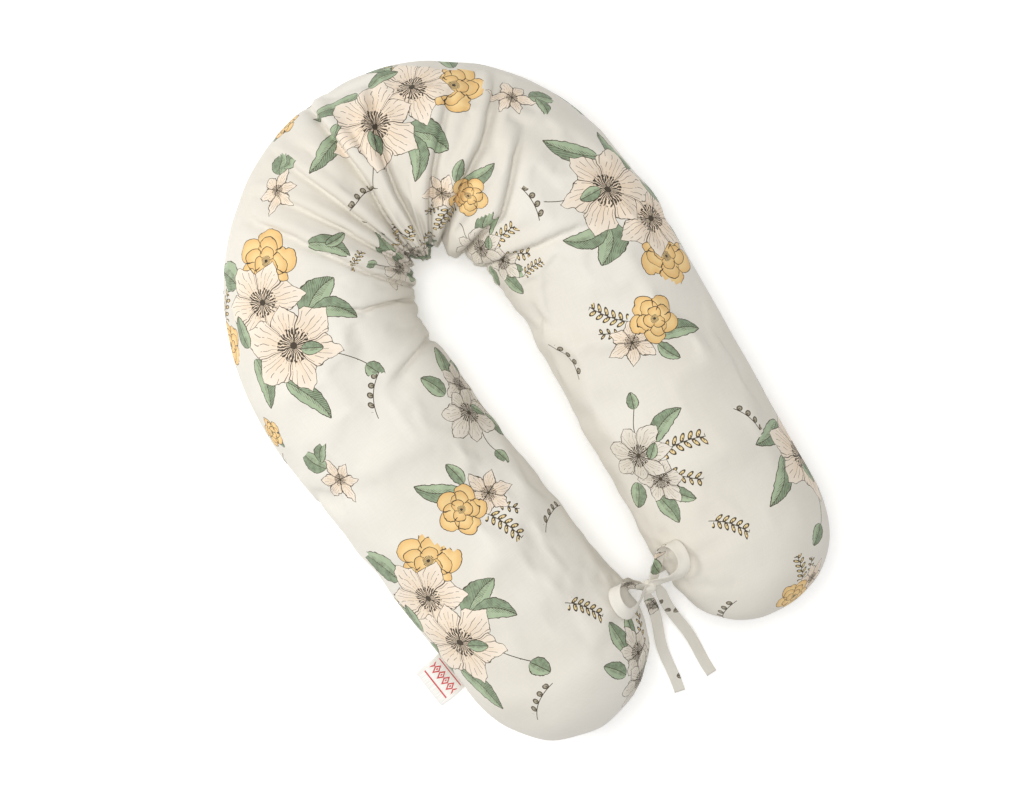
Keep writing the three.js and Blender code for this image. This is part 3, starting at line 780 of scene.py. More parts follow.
def drawing(name, numbers, outputs=("Fill", "Shade", "Ink")):
    """An empty node group that takes a Vector and some numbers. It returns the group, its helper,
    its inputs by name and the node that its outputs go to."""
    tree = bpy.data.node_groups.new(name, "ShaderNodeTree")
    tree.interface.new_socket("Vector", in_out="INPUT", socket_type="NodeSocketVector")
    for label, value in numbers.items():
        item = tree.interface.new_socket(label, in_out="INPUT", socket_type="NodeSocketFloat")
        item.default_value = value
    for label in outputs:
        tree.interface.new_socket(label, in_out="OUTPUT", socket_type="NodeSocketFloat")
    given = tree.nodes.new("NodeGroupInput")
    result = tree.nodes.new("NodeGroupOutput")
    return tree, Sums(tree), {socket.name: socket for socket in given.outputs}, result


# %% [markdown]
# ## Drawn leaves, petals, blooms and stems
#
# Each drawing lives in its own unit space: a leaf runs from 0 to 1 along x, and a bloom has a radius
# of 1. Each gives three masks: what is filled, how dark the filling is, and where the ink lines are.
# The flowers are general ones, built from rules. They copy no particular design.

# %% Leaf
def leaf_drawing():
    """Half width = Width * (4 u (1 - u)) ^ 0.8, where u is x ^ 0.8; the rib is y = Bend * x (1 - x)."""
    tree, s, given, result = drawing("leaf", {"Width": 0.2, "Bend": 0.2, "Line": 0.012, "Hatch": 15.0})
    x, y = s.split(given["Vector"])
    inside = s.times(x, s.minus(1, x))
    rib = s.minus(y, s.times(given["Bend"], inside))
    along = s.power(s.math("MAXIMUM", x, 0), 0.8)
    bulge = s.times(4, s.times(along, s.minus(1, along)))
    half = s.times(given["Width"], s.times(s.math("SIGN", bulge), s.power(s.size(bulge), 0.8)))
    ripple = s.times(s.minus(s.noise(given["Vector"], 7.0), 0.5), s.times(given["Width"], 0.34))
    depth = s.minus(s.plus(half, s.times(ripple, s.more(inside, 0))), s.size(rib))
    fill = s.more(depth, 0)
    slant = s.plus(s.times(x, given["Hatch"]), s.times(s.size(rib), s.times(given["Hatch"], -1.9)))
    stripe = s.less(s.math("FRACT", slant), s.ramp(s.noise(given["Vector"], 6.0), 0.35, 0.65, 0.10, 0.62))
    dark_half = s.more(rib, 0)
    hatch = s.times(stripe, s.times(fill, s.either(dark_half, s.less(s.size(rib), s.times(half, 0.45)))))
    outline = s.times(s.less(s.size(depth), given["Line"]), s.more(inside, 0))
    spine = s.times(fill, s.less(s.size(rib), s.times(given["Line"], 0.8)))
    s.put(fill, result.inputs["Fill"])
    shade = s.plus(s.times(dark_half, 0.35), s.times(s.noise(given["Vector"], 5.0), 0.5))
    s.put(shade, result.inputs["Shade"])
    s.put(s.either(s.either(outline, spine), s.times(hatch, 0.66)), result.inputs["Ink"])
    return tree


# %% Bloom
def bloom_drawing():
    """Petals by folding the angle: the turn is cut into Petals equal sectors, and each sector draws
    one petal with its own length and lean. Half width of a petal = Wide * r^0.7 * (1 - r)^0.92."""
    tree, s, given, result = drawing(
        "bloom", {"Petals": 6.0, "Wide": 0.95, "Seed": 0.0, "Line": 0.012, "Heart": 0.2}
    )
    x, y = s.split(given["Vector"])
    radius = s.math("SQRT", s.plus(s.times(x, x), s.times(y, y)))
    turn = s.plus(s.over(s.math("ARCTAN2", y, x), 2 * math.pi), 0.5)
    bent = s.plus(turn, s.times(s.minus(s.noise(given["Vector"], 1.6), 0.5), 0.10))
    sectors = s.times(bent, given["Petals"])
    number = s.math("FLOOR", sectors)
    pick = s.add("ShaderNodeTexWhiteNoise", noise_dimensions="2D")
    label = s.add("ShaderNodeCombineXYZ")
    s.put(number, label.inputs[0])
    s.put(given["Seed"], label.inputs[1])
    s.put(label.outputs[0], pick.inputs["Vector"])
    chance = pick.outputs["Value"]
    off = s.minus(s.math("FRACT", sectors), 0.5)
    angle = s.times(off, s.over(2 * math.pi, given["Petals"]))
    reach = s.plus(0.76, s.times(chance, 0.3))
    broad = s.times(given["Wide"], s.plus(0.84, s.times(pick.outputs["Color"], 0.3)))
    out = s.over(s.times(radius, s.math("COSINE", angle)), reach)
    side = s.size(s.times(radius, s.math("SINE", angle)))
    left = s.minus(1, out)
    profile = s.times(s.power(s.math("MAXIMUM", out, 0), 0.7), s.power(s.math("MAXIMUM", left, 0), 0.92))
    frill = s.times(s.minus(s.noise(given["Vector"], 4.5), 0.5), 0.16)
    depth = s.minus(s.plus(s.times(broad, profile), s.times(frill, s.less(out, 1.1))), side)
    fill = s.times(s.more(depth, 0), s.more(left, 0))
    outline = s.times(s.less(s.size(depth), given["Line"]), s.less(out, 1.02))
    half_sector = s.times(math.pi, s.over(1, given["Petals"]))
    border = s.minus(s.times(radius, half_sector), s.times(radius, s.size(angle)))
    seam = s.times(fill, s.less(border, s.times(given["Line"], 0.9)))
    vein_lines = s.less(s.math("FRACT", s.plus(s.times(s.size(off), 6.0), 0.5)), 0.10)
    dashes = s.more(s.noise(given["Vector"], 7.0), 0.44)
    zone = s.times(s.more(out, 0.26), s.less(out, 0.8))
    veins = s.times(s.times(vein_lines, dashes), s.times(zone, fill))
    tangle = s.times(s.minus(s.noise(given["Vector"], 9.0), 0.5), 0.09)
    rays = s.less(s.math("FRACT", s.times(s.plus(turn, tangle), 27.0)), 0.58)
    ray_end = s.plus(given["Heart"], s.times(s.minus(s.noise(given["Vector"], 13.0), 0.5), 0.34))
    heart = s.times(rays, s.less(radius, ray_end))
    eye = s.less(radius, s.times(given["Heart"], 0.22))
    s.put(fill, result.inputs["Fill"])
    glow = s.plus(s.ramp(radius, 0.15, 0.9, 0.8, 0.1), s.times(s.less(side, s.times(profile, 0.12)), 0.25))
    s.put(glow, result.inputs["Shade"])
    middle = s.either(heart, eye)
    s.put(s.either(s.either(outline, seam), s.either(s.times(veins, 0.8), middle)), result.inputs["Ink"])
    return tree


# %% Rose
def rose_drawing():
    """Rings of petals inside each other. A ring's edge is r = size * (1 - dip * |sin(n a / 2 + shift)|)."""
    tree, s, given, result = drawing("rose", {"Seed": 0.0, "Line": 0.014})
    x, y = s.split(given["Vector"])
    warp = s.times(s.minus(s.noise(given["Vector"], 2.2), 0.5), 0.28)
    radius = s.plus(s.math("SQRT", s.plus(s.times(x, x), s.times(y, y))), s.times(warp, 0.9))
    angle = s.plus(s.math("ARCTAN2", y, x), s.plus(given["Seed"], s.times(warp, 2.0)))
    ink, shade, fill = 0.0, 0.0, None
    for size, dip, petals, shift in ((0.93, 0.20, 5, 0.3), (0.66, 0.26, 4, 1.1), (0.40, 0.30, 3, 2.0)):
        scallop = s.size(s.math("SINE", s.plus(s.times(angle, petals / 2), shift)))
        edge = s.times(size, s.minus(1 + dip / 2, s.times(dip * 1.5, s.minus(1, scallop))))
        depth = s.minus(edge, radius)
        within = s.more(depth, 0)
        fill = within if fill is None else fill
        ink = s.either(s.less(s.size(depth), given["Line"]), ink)
        rim = s.times(within, s.less(depth, 0.3 * size))
        ink = s.either(s.times(s.less(scallop, s.times(given["Line"], 5.0)), rim), ink)
        edge_shade = s.times(within, s.ramp(depth, 0.0, 0.3, 0.55, 0.0))
        shade = s.plus(edge_shade, s.times(shade, s.minus(1, within)))
    rays = s.times(s.less(s.math("FRACT", s.times(angle, 3.7)), 0.5), s.less(radius, 0.17))
    s.put(fill, result.inputs["Fill"])
    s.put(shade, result.inputs["Shade"])
    s.put(s.either(ink, s.either(rays, s.less(radius, 0.05))), result.inputs["Ink"])
    return tree


# %% Sprig
def sprig_drawing():
    """A bent stem from 0 to 1 with pairs of leaflets. The stem is cut into Pairs equal cells, and each
    cell draws an ellipse on either side, slanted forwards. Round leaflets on one side are berries."""
    tree, s, given, result = drawing(
        "sprig", {"Pairs": 6.0, "Bend": 0.3, "Line": 0.01, "Long": 0.085, "Broad": 0.036, "OneSide": 0.0}
    )
    x, y = s.split(given["Vector"])
    bent = s.minus(y, s.times(given["Bend"], s.times(x, s.minus(1, x))))
    within = s.times(s.more(x, 0.12), s.less(x, 1.0))
    lean = s.times(s.math("SIGN", bent), 0.18)
    cell = s.plus(s.times(x, given["Pairs"]), lean)
    across = s.over(s.minus(s.math("FRACT", cell), 0.5), given["Pairs"])
    up = s.minus(s.size(bent), s.plus(s.times(given["Long"], 0.95), 0.008))
    turned_x = s.plus(s.times(across, 0.55), s.times(up, 0.84))
    turned_y = s.minus(s.times(up, 0.55), s.times(across, 0.84))
    long_part = s.over(turned_x, given["Long"])
    broad_part = s.over(turned_y, given["Broad"])
    ring = s.math("SQRT", s.plus(s.times(long_part, long_part), s.times(broad_part, broad_part)))
    shown = s.times(within, s.either(s.less(given["OneSide"], 0.5), s.more(bent, 0)))
    fill = s.times(s.less(ring, 1.0), shown)
    edge = s.times(s.less(s.size(s.minus(ring, 1.0)), s.over(given["Line"], given["Broad"])), shown)
    stem = s.times(s.less(s.size(bent), given["Line"]), s.times(s.more(x, 0), s.less(x, 1.0)))
    below = s.times(s.more(up, -0.2), s.less(up, 0))
    stalk = s.times(s.times(s.less(s.size(across), given["Line"]), shown), below)
    s.put(fill, result.inputs["Fill"])
    s.put(s.ramp(ring, 0.2, 1.0, 0.0, 0.8), result.inputs["Shade"])
    s.put(s.either(edge, s.either(stem, stalk)), result.inputs["Ink"])
    return tree


DRAWINGS = {
    "leaf": leaf_drawing(),
    "bloom": bloom_drawing(),
    "rose": rose_drawing(),
    "sprig": sprig_drawing(),
}
print("drawings", {name: len(tree.nodes) for name, tree in DRAWINGS.items()})

# %% [markdown]
# ## Bunches
#
# A bunch is a list of drawings laid over each other, with places in metres from the bunch's middle.
# The printed cotton of the real cover repeats a few bunches in different turns: a large bunch with
# two open blooms and an amber rose, a small bunch, white blooms, a single star flower, and loose
# stems between them.

# %% Inks
CLOTH = srgb(230, 226, 217)
INK = srgb(76, 68, 56)
FILLS = {
    "peach": (srgb(238, 227, 212), srgb(232, 212, 188)),
    "white": (srgb(228, 221, 209), srgb(206, 197, 182)),
    "amber": (srgb(240, 208, 148), srgb(222, 172, 104)),
    "sage": (srgb(182, 198, 166), srgb(112, 134, 108)),
    "straw": (srgb(234, 212, 158), srgb(210, 176, 116)),
    "grey": (srgb(172, 164, 144), srgb(120, 112, 96)),
}
LINE_WIDTH = 0.00048


def element(kind, fill, x, y, size, turn=0.0, mirror=False, **numbers):
    """One drawing in a bunch: its kind, colours, place and size in metres, and turn in degrees."""
    looks = {"kind": kind, "fill": fill, "mirror": mirror, "numbers": numbers}
    return {"place": (x, y), "size": size, "turn": turn, **looks}


BUNCHES = {
    "large": (0.150, [
        element("leaf", "sage", -0.030, -0.030, 0.066, -72, Width=0.17, Bend=0.3),
        element("leaf", "sage", -0.050, 0.060, 0.060, 158, Width=0.27, Bend=0.6),
        element("leaf", "sage", -0.022, 0.098, 0.056, 120, Width=0.3, Bend=-0.3),
        element("leaf", "sage", -0.048, 0.014, 0.060, 250, Width=0.2, Bend=0.35),
        element("sprig", "straw", -0.040, 0.082, 0.052, 196, Pairs=5.0, Bend=0.3),
        element("rose", "amber", 0.026, 0.098, 0.037, Seed=1.0),
        element("leaf", "sage", 0.028, 0.016, 0.058, 24, Width=0.3, Bend=0.5),
        element("leaf", "sage", 0.040, 0.022, 0.052, -42, Width=0.22, Bend=0.6),
        element("sprig", "grey", 0.018, -0.018, 0.072, -52, Pairs=1.0, Bend=0.3, Long=0.0001, Broad=0.0001),
        element("leaf", "sage", 0.056, -0.064, 0.026, -68, Width=0.36, Bend=0.0),
        element("bloom", "peach", -0.004, 0.062, 0.054, 12, Seed=3.0, Petals=6.0, Wide=1.00, Heart=0.30),
        element("bloom", "peach", 0.0, 0.0, 0.064, 48, Seed=8.0, Petals=6.0, Wide=1.03, Heart=0.30),
        element("leaf", "sage", 0.006, -0.008, 0.026, -30, Width=0.3, Bend=0.0),
        element("leaf", "sage", -0.050, 0.030, 0.040, 78, Width=0.24, Bend=0.2),
    ]),
    "small": (0.078, [
        element("leaf", "sage", -0.006, 0.018, 0.052, 142, Width=0.2, Bend=0.45),
        element("leaf", "sage", 0.002, 0.022, 0.030, 100, Width=0.26, Bend=-0.2),
        element("sprig", "straw", 0.004, -0.018, 0.052, -68, Pairs=6.0, Bend=0.25),
        element("sprig", "straw", 0.020, -0.010, 0.034, -52, Pairs=4.0, Bend=-0.2),
        element("bloom", "peach", 0.022, -0.002, 0.034, 20, Seed=5.0, Petals=6.0, Wide=0.80, Heart=0.26),
        element("rose", "amber", -0.016, -0.002, 0.029, Seed=2.2),
    ]),
    "white": (0.092, [
        element("sprig", "straw", 0.020, -0.006, 0.056, -12, Pairs=6.0, Bend=0.3),
        element("sprig", "straw", 0.016, -0.022, 0.046, -48, Pairs=5.0, Bend=-0.2),
        element("leaf", "sage", 0.022, 0.010, 0.050, 20, Width=0.22, Bend=0.5),
        element("leaf", "sage", -0.012, -0.044, 0.040, -82, Width=0.28, Bend=0.2),
        element("leaf", "sage", 0.006, -0.042, 0.036, -52, Width=0.24, Bend=-0.3),
        element("leaf", "sage", -0.026, -0.020, 0.034, -130, Width=0.3, Bend=0.2),
        element("sprig", "grey", 0.006, 0.022, 0.042, 62, Pairs=1.0, Bend=0.2, Long=0.0001, Broad=0.0001),
        element("leaf", "sage", 0.022, 0.054, 0.020, 70, Width=0.34, Bend=0.0),
        element("bloom", "white", 0.004, -0.030, 0.034, 8, Seed=11.0, Petals=6.0, Wide=1.0, Heart=0.34),
        element("bloom", "white", -0.002, 0.006, 0.040, 35, Seed=6.0, Petals=7.0, Wide=0.95, Heart=0.32),
        element("leaf", "sage", 0.008, -0.004, 0.020, 40, Width=0.32, Bend=0.0),
    ]),
    "star": (0.050, [
        element("leaf", "sage", 0.006, 0.010, 0.034, 52, Width=0.34, Bend=0.4),
        element("leaf", "sage", 0.014, 0.016, 0.030, -22, Width=0.24, Bend=0.5),
        element("bloom", "peach", -0.006, -0.006, 0.030, 5, Seed=4.0, Petals=6.0, Wide=0.72, Heart=0.24),
    ]),
    "berries": (0.036, [
        element(
            "sprig", "grey", -0.028, 0.0, 0.056, 0,
            Pairs=5.0, Bend=0.5, Long=0.06, Broad=0.05, OneSide=1.0,
        ),
    ]),
    "sprig": (0.030, [
        element("sprig", "straw", -0.024, 0.0, 0.048, 0, Pairs=6.0, Bend=0.35),
    ]),
    "rosebud": (0.032, [
        element("leaf", "sage", 0.0, 0.0, 0.024, 200, Width=0.3, Bend=0.2),
        element("rose", "amber", 0.0, 0.0, 0.019, Seed=0.6),
    ]),
    "leaf": (0.034, [
        element("leaf", "sage", -0.026, -0.004, 0.052, 10, Width=0.2, Bend=0.5),
        element("leaf", "sage", -0.006, 0.004, 0.028, 62, Width=0.22, Bend=-0.3),
    ]),
}

# %% [markdown]
# ## The cotton itself
#
# Under the print is a plain-weave cotton: pale threads over and under each other, a little thicker
# here and there, with a soft nap that lightens it at grazing angles. The threads follow the cloth,
# so the weave reads a map that is measured along and across the panel, in metres.

# %% Cotton ground
THREADS_PER_METRE = 1500

def cotton_group():
    """Thread height and a slow change of tone. A plain weave is the sum of one wave along and one
    across, each strong where the other is weak."""
    tree = bpy.data.node_groups.new("cotton", "ShaderNodeTree")
    tree.interface.new_socket("Vector", in_out="INPUT", socket_type="NodeSocketVector")
    tree.interface.new_socket("Height", in_out="OUTPUT", socket_type="NodeSocketFloat")
    tree.interface.new_socket("Tone", in_out="OUTPUT", socket_type="NodeSocketFloat")
    given = tree.nodes.new("NodeGroupInput")
    result = tree.nodes.new("NodeGroupOutput")
    s = Sums(tree)
    x, y = s.split(given.outputs[0])
    warp = s.math("SINE", s.times(x, 2 * math.pi * THREADS_PER_METRE / 2))
    weft = s.math("SINE", s.times(y, 2 * math.pi * THREADS_PER_METRE / 2))
    checker = s.times(warp, weft)
    stretched = s.add("ShaderNodeMapping")
    s.put(given.outputs[0], stretched.inputs["Vector"])
    stretched.inputs["Scale"].default_value = (900, 40, 1)
    slubs = s.noise(stretched.outputs[0], 1.0, 1.0)
    crossed = s.add("ShaderNodeMapping")
    s.put(given.outputs[0], crossed.inputs["Vector"])
    crossed.inputs["Scale"].default_value = (40, 900, 1)
    slubs_across = s.noise(crossed.outputs[0], 1.0, 1.0)
    s.put(s.plus(s.times(checker, 0.35), s.plus(slubs, slubs_across)), result.inputs["Height"])
    s.put(s.plus(slubs, slubs_across), result.inputs["Tone"])
    return tree


COTTON = cotton_group()


def printed_material(name, bunch):
    """Cotton with one bunch printed on it. The bunch's drawings read the map called print, whose
    origin is the bunch's middle, and each is laid over the ones before it."""
    material = bpy.data.materials.new(name)
    material.use_nodes = True
    tree = material.node_tree
    s = Sums(tree)
    shader = tree.nodes["Principled BSDF"]
    print_map = s.add("ShaderNodeUVMap", uv_map="print").outputs[0]
    cloth_map = s.add("ShaderNodeUVMap", uv_map="cloth").outputs[0]
    cotton = s.add("ShaderNodeGroup", node_tree=COTTON)
    s.put(cloth_map, cotton.inputs[0])
    place = s.add("ShaderNodeTexCoord").outputs["Object"]
    blotch = s.noise(place, 5.0, 3.0)
    ground = s.mix(s.ramp(blotch, 0.35, 0.7, 0.0, 1.0), CLOTH, srgb(222, 217, 206))
    color = s.mix(s.ramp(cotton.outputs["Tone"], 0.7, 1.3, 0.0, 0.10), ground, srgb(196, 190, 176))
    for part in bunch:
        where = s.add("ShaderNodeMapping", vector_type="TEXTURE")
        s.put(print_map, where.inputs["Vector"])
        size = part["size"]
        where.inputs["Location"].default_value = (*part["place"], 0)
        where.inputs["Rotation"].default_value = (0, 0, math.radians(part["turn"]))
        where.inputs["Scale"].default_value = (size, -size if part["mirror"] else size, 1)
        drawn = s.add("ShaderNodeGroup", node_tree=DRAWINGS[part["kind"]])
        s.put(where.outputs[0], drawn.inputs["Vector"])
        drawn.inputs["Line"].default_value = LINE_WIDTH / size
        for label, value in part["numbers"].items():
            drawn.inputs[label].default_value = value
        light, dark = FILLS[part["fill"]]
        filling = s.mix(drawn.outputs["Shade"], light, dark)
        color = s.mix(drawn.outputs["Fill"], color, filling)
        color = s.mix(drawn.outputs["Ink"], color, INK)
    s.put(color, shader.inputs["Base Color"])
    shader.inputs["Roughness"].default_value = 0.88
    shader.inputs["Specular IOR Level"].default_value = 0.25
    shader.inputs["Sheen Weight"].default_value = 0.12
    shader.inputs["Sheen Roughness"].default_value = 0.5
    wrinkles = s.noise(place, 60.0, 3.0)
    bump = bump_node(s, cotton.outputs["Height"], 0.5, 0.00009)
    coarse = bump_node(s, wrinkles, 0.35, 0.0012)
    s.put(coarse.outputs[0], bump.inputs["Normal"])
    s.put(bump.outputs[0], shader.inputs["Normal"])
    return material


PRINTS = {"plain": printed_material("printed cotton, plain part", [])}
for label, (reach, bunch) in BUNCHES.items():
    PRINTS[label] = printed_material("printed cotton, " + label, bunch)
print("print materials", {label: len(m.node_tree.nodes) for label, m in PRINTS.items()})

# %% [markdown]
# ## Laying the print on the cover
#
# A printer repeats the bunches over the flat cloth. On the sewn cover each bunch is easiest to place
# by its middle and its turn. Every face then belongs to the nearest bunch, and its map is the
# distance and direction from the bunch's middle, measured along the surface, so that the drawing
# wraps round the pillow without stretching.

# %% Where the bunches lie
def on_top(kind, right, back, turn=0.0, mirror=False, scale=1.0):
    """A bunch on the upper side, by its millimetres right of and behind the middle of the bend."""
    place = (right / 1000, back / 1000)
    return {"kind": kind, "plan": place, "turn": turn, "mirror": mirror, "scale": scale}


def around(kind, edge, angle, turn=0.0, mirror=False, scale=1.0):
    """A bunch placed by its share of the outer edge and its angle round the section, for the sides
    and the underside."""
    return {"kind": kind, "edge": edge, "angle": angle, "turn": turn, "mirror": mirror, "scale": scale}


LAYOUT = [
    on_top("large", -180, 75, 0),
    on_top("large", -210, -310, 10),
    on_top("large", 215, 30, 206),
    on_top("large", 30, 235, -78),
    on_top("large", 240, -350, 205),
    on_top("small", -110, -185, 0),
    on_top("small", 165, -130, 195),
    on_top("small", 70, 120, -40, True, 0.8),
    on_top("small", 155, -480, 180, True, 0.8),
    on_top("white", 80, -250, 0),
    on_top("white", -55, -460, 150, True),
    on_top("white", -55, -90, 165, True),
    on_top("white", 60, 50, 20, False, 0.8),
    on_top("white", -30, 90, 60, False, 0.7),
    on_top("star", -95, 240, 0),
    on_top("star", 190, 175, -70),
    on_top("star", -225, -75, 60),
    on_top("rosebud", -55, 300, 0),
    on_top("rosebud", -260, 10, 0),
    on_top("berries", -130, -25, 55),
    on_top("berries", 128, 62, -95, True),
    on_top("berries", 205, -285, -75, True),
    on_top("berries", -20, 170, 5, True),
    on_top("berries", -165, -420, 40),
    on_top("berries", 70, -110, -75),
    on_top("berries", 70, -460, 60),
    on_top("berries", -40, -250, -75),
    on_top("sprig", -70, -360, -50),
    on_top("sprig", 120, -370, -48),
    on_top("sprig", 95, 0, 0, False, 0.7),
    on_top("sprig", -70, 115, 30, False, 0.6),
    on_top("leaf", -90, 145, -60),
    around("small", 0.345, 5, 30),
    around("star", 0.18, -5, 200),
    around("berries", 0.27, 0, 90),
    around("sprig", 0.42, -8, 0),
    around("berries", 0.50, 0, 120),
    around("white", 0.57, -10, 90),
    around("star", 0.66, -8, 30),
    around("large", 0.16, 262, 90),
    around("small", 0.25, 250, 200),
    around("large", 0.36, 255, 20),
    around("star", 0.44, 280, 100),
    around("white", 0.52, 262, 0),
    around("large", 0.64, 262, -60),
    around("berries", 0.72, 285, 30),
    around("small", 0.80, 255, 90),
    around("white", 0.89, 265, 30),
    around("star", 0.08, 262, 0),
]


# %% Faces to bunches
def bunch_frames():
    """Middle, two axes in the surface, reach and kind of every bunch."""
    flat_points = fine_tube.reshape(-1, 3)
    flat_normals = fine_normals.reshape(-1, 3)
    upper = flat_normals[:, 2] > 0.1
    frames = []
    for item in LAYOUT:
        if "plan" in item:
            target = np.array(item["plan"]) + ORIGIN
            gap = np.linalg.norm(flat_points[:, :2] - target, axis=1) + np.where(upper, 0, 10)
            index = int(np.argmin(gap))
        else:
            ring = int(np.argmin(np.abs(fine_edge - item["edge"] * OUTER_EDGE)))
            column = int(np.argmin(np.abs(np.degrees(fine_angles) % 360 - item["angle"] % 360)))
            index = ring * FINE_COLUMNS + column
        near = np.linalg.norm(flat_points - flat_points[index], axis=1) < 0.02
        normal = flat_normals[near].mean(axis=0)
        normal /= np.linalg.norm(normal)
        start = np.array([1.0, 0, 0]) if abs(normal[0]) < 0.8 else np.array([0, 1.0, 0])
        first = start - normal * normal.dot(start)
        first /= np.linalg.norm(first)
        second = np.cross(normal, first)
        turn = math.radians(item["turn"])
        axis_x = math.cos(turn) * first + math.sin(turn) * second
        axis_y = math.cos(turn) * second - math.sin(turn) * first
        if item["mirror"]:
            axis_x = -axis_x
        reach = BUNCHES[item["kind"]][0] * item["scale"]
        axes = (axis_x / item["scale"], axis_y / item["scale"])
        frames.append((flat_points[index], *axes, reach, item["kind"]))
    return frames


FRAMES = bunch_frames()


def corner_vertices(mesh):
    """The vertex number of every corner of every face, in the order that maps are stored."""
    numbers = np.empty(len(mesh.loops), np.int64)
    mesh.loops.foreach_get("vertex_index", numbers)
    return numbers


def write_map(mesh, name, corner_values):
    """A UV map from one pair of metres per corner."""
    layer = mesh.uv_layers.new(name=name)
    layer.data.foreach_set("uv", corner_values.astype(np.float32).ravel())


def lay_print(made, cloth_map):
    """Gives each face its bunch's material, and the map called print.

    The map is the chord from the bunch's middle, turned into the surface: its length is kept and
    only its direction comes from the two axes."""
    mesh = made.data
    co = np.empty(len(mesh.vertices) * 3)
    mesh.vertices.foreach_get("co", co)
    co = co.reshape(-1, 3)
    corner_vertex = corner_vertices(mesh)
    counts = np.empty(len(mesh.polygons), np.int64)
    mesh.polygons.foreach_get("loop_total", counts)
    centre = np.empty(len(mesh.polygons) * 3)
    mesh.polygons.foreach_get("center", centre)
    centre = centre.reshape(-1, 3)
    share = np.stack([np.linalg.norm(centre - f[0], axis=1) / f[3] for f in FRAMES], axis=1)
    best = share.argmin(axis=1)
    chosen = np.where(share.min(axis=1) < 1, best, -1)
    kinds = list(PRINTS)
    for kind in kinds:
        mesh.materials.append(PRINTS[kind])
    numbers = np.array([kinds.index(f[4]) for f in FRAMES] + [0])
    mesh.polygons.foreach_set("material_index", numbers[chosen].astype(np.int32))
    face_of_corner = np.repeat(np.arange(len(counts)), counts)
    corner_bunch = chosen[face_of_corner]
    spots = np.array([f[0] for f in FRAMES] + [np.zeros(3)])
    axes_x = np.array([f[1] for f in FRAMES] + [np.zeros(3)])
    axes_y = np.array([f[2] for f in FRAMES] + [np.zeros(3)])
    offset = co[corner_vertex] - spots[corner_bunch]
    flat = np.stack([(offset * axes[corner_bunch]).sum(1) for axes in (axes_x, axes_y)], axis=1)
    scale = np.linalg.norm(axes_x[corner_bunch], axis=1)
    chord = np.linalg.norm(offset, axis=1) * scale
    flat *= (chord / np.maximum(np.linalg.norm(flat, axis=1), 1e-9))[:, None]
    write_map(mesh, "print", flat)
    write_map(mesh, "cloth", cloth_map[corner_vertex])


# %% Print both panels
def cloth_map_of(points):
    """Metres along the panel and metres round it, for every vertex of a panel and its two poles."""
    girth = np.cumsum(np.linalg.norm(np.diff(points, axis=1), axis=2), axis=1)
    girth = np.concatenate([np.zeros((len(points), 1)), girth], axis=1)
    along = np.repeat(fine_edge[:, None], points.shape[1], axis=1)
    flat = np.stack([along, girth], axis=2).reshape(-1, 2)
    return np.concatenate([flat, [[0, 0], [OUTER_EDGE, 0]]])


lay_print(cover_top, cloth_map_of(top_points))
lay_print(cover_low, cloth_map_of(low_points))

# %% [markdown]
# ## Ribbons
#
# The ties are narrow strips of the printed cotton, folded and sewn flat. A strip is a line in space
# and, at each place on it, the direction of its width: its section, a thin rectangle with rounded
# edges, is carried along. Loops, tails, roots and labels all come from the same function.

# %% Ribbon surface
def smooth_line(points, count):
    """A Catmull-Rom curve through the points, sampled count times at even distances."""
    points = np.asarray(points, float)
    padded = np.concatenate([2 * points[:1] - points[1:2], points, 2 * points[-1:] - points[-2:-1]])
    t = np.linspace(0, len(points) - 1, count * 8)
    part = np.minimum(t.astype(int), len(points) - 2)
    u = (t - part)[:, None]
    a, b, c, d = (padded[part + k] for k in range(4))
    line = 0.5 * (2 * b + (c - a) * u + (2 * a - 5 * b + 4 * c - d) * u**2 + (3 * b - a - 3 * c + d) * u**3)
    length = lengths_along(line)
    even = np.linspace(0, length[-1], count)
    return np.column_stack([np.interp(even, length, axis) for axis in line.T])


def unit(vectors):
    """Each vector at length one."""
    return vectors / np.maximum(np.linalg.norm(vectors, axis=-1, keepdims=True), 1e-12)


def strip_section(count=28, corner=0.3):
    """Corners of a flat section, one unit wide and one thick: a superellipse, dense at its edges."""
    turn = np.linspace(0, 2 * math.pi, count, endpoint=False)
    wide = np.sign(np.cos(turn)) * np.abs(np.cos(turn)) ** 0.75 / 2
    thick = np.sign(np.sin(turn)) * np.abs(np.sin(turn)) ** corner / 2
    return wide, thick


def ribbon(name, line, across, width, thickness, crumple=0.0, seed=0.0):
    """A closed strip: point = line + side * width * a + normal * thickness * b, with (a, b) the
    section's corners. width and thickness may change along the line. crumple bends the strip's
    middle in and out with slow waves. It carries the maps print and cloth, in metres."""
    line = np.asarray(line, float)
    along = unit(np.gradient(line, axis=0))
    across = np.broadcast_to(np.asarray(across, float), line.shape)
    normal = unit(np.cross(along, across))
    side = unit(np.cross(normal, along))
    width = np.broadcast_to(width, (len(line),))[:, None]
    thickness = np.broadcast_to(thickness, (len(line),))[:, None]
    wide, thick = strip_section()
    distance = lengths_along(line)[:, None]
    quick_wave = np.sin(distance * 160 + seed + wide * 5) * 0.6
    bow = crumple * (quick_wave + np.sin(distance * 87 + seed * 2 - wide * 7) * 0.6)
    a = width * wide
    b = thickness * thick + bow
    points = line[:, None] + side[:, None] * a[:, :, None] + normal[:, None] * b[:, :, None]
    flat, faces = closed_tube_mesh(points)
    made = new_object(name, flat, faces)
    shade_smooth(made)
    plan = np.stack([np.repeat(distance, len(wide), axis=1), a + 0 * b], axis=2).reshape(-1, 2)
    plan = np.concatenate([plan, [[0, 0], [distance[-1, 0], 0]]])
    for label in ("print", "cloth"):
        write_map(made.data, label, plan[corner_vertices(made.data)])
    face_out(made)
    return made, float(distance[-1, 0])


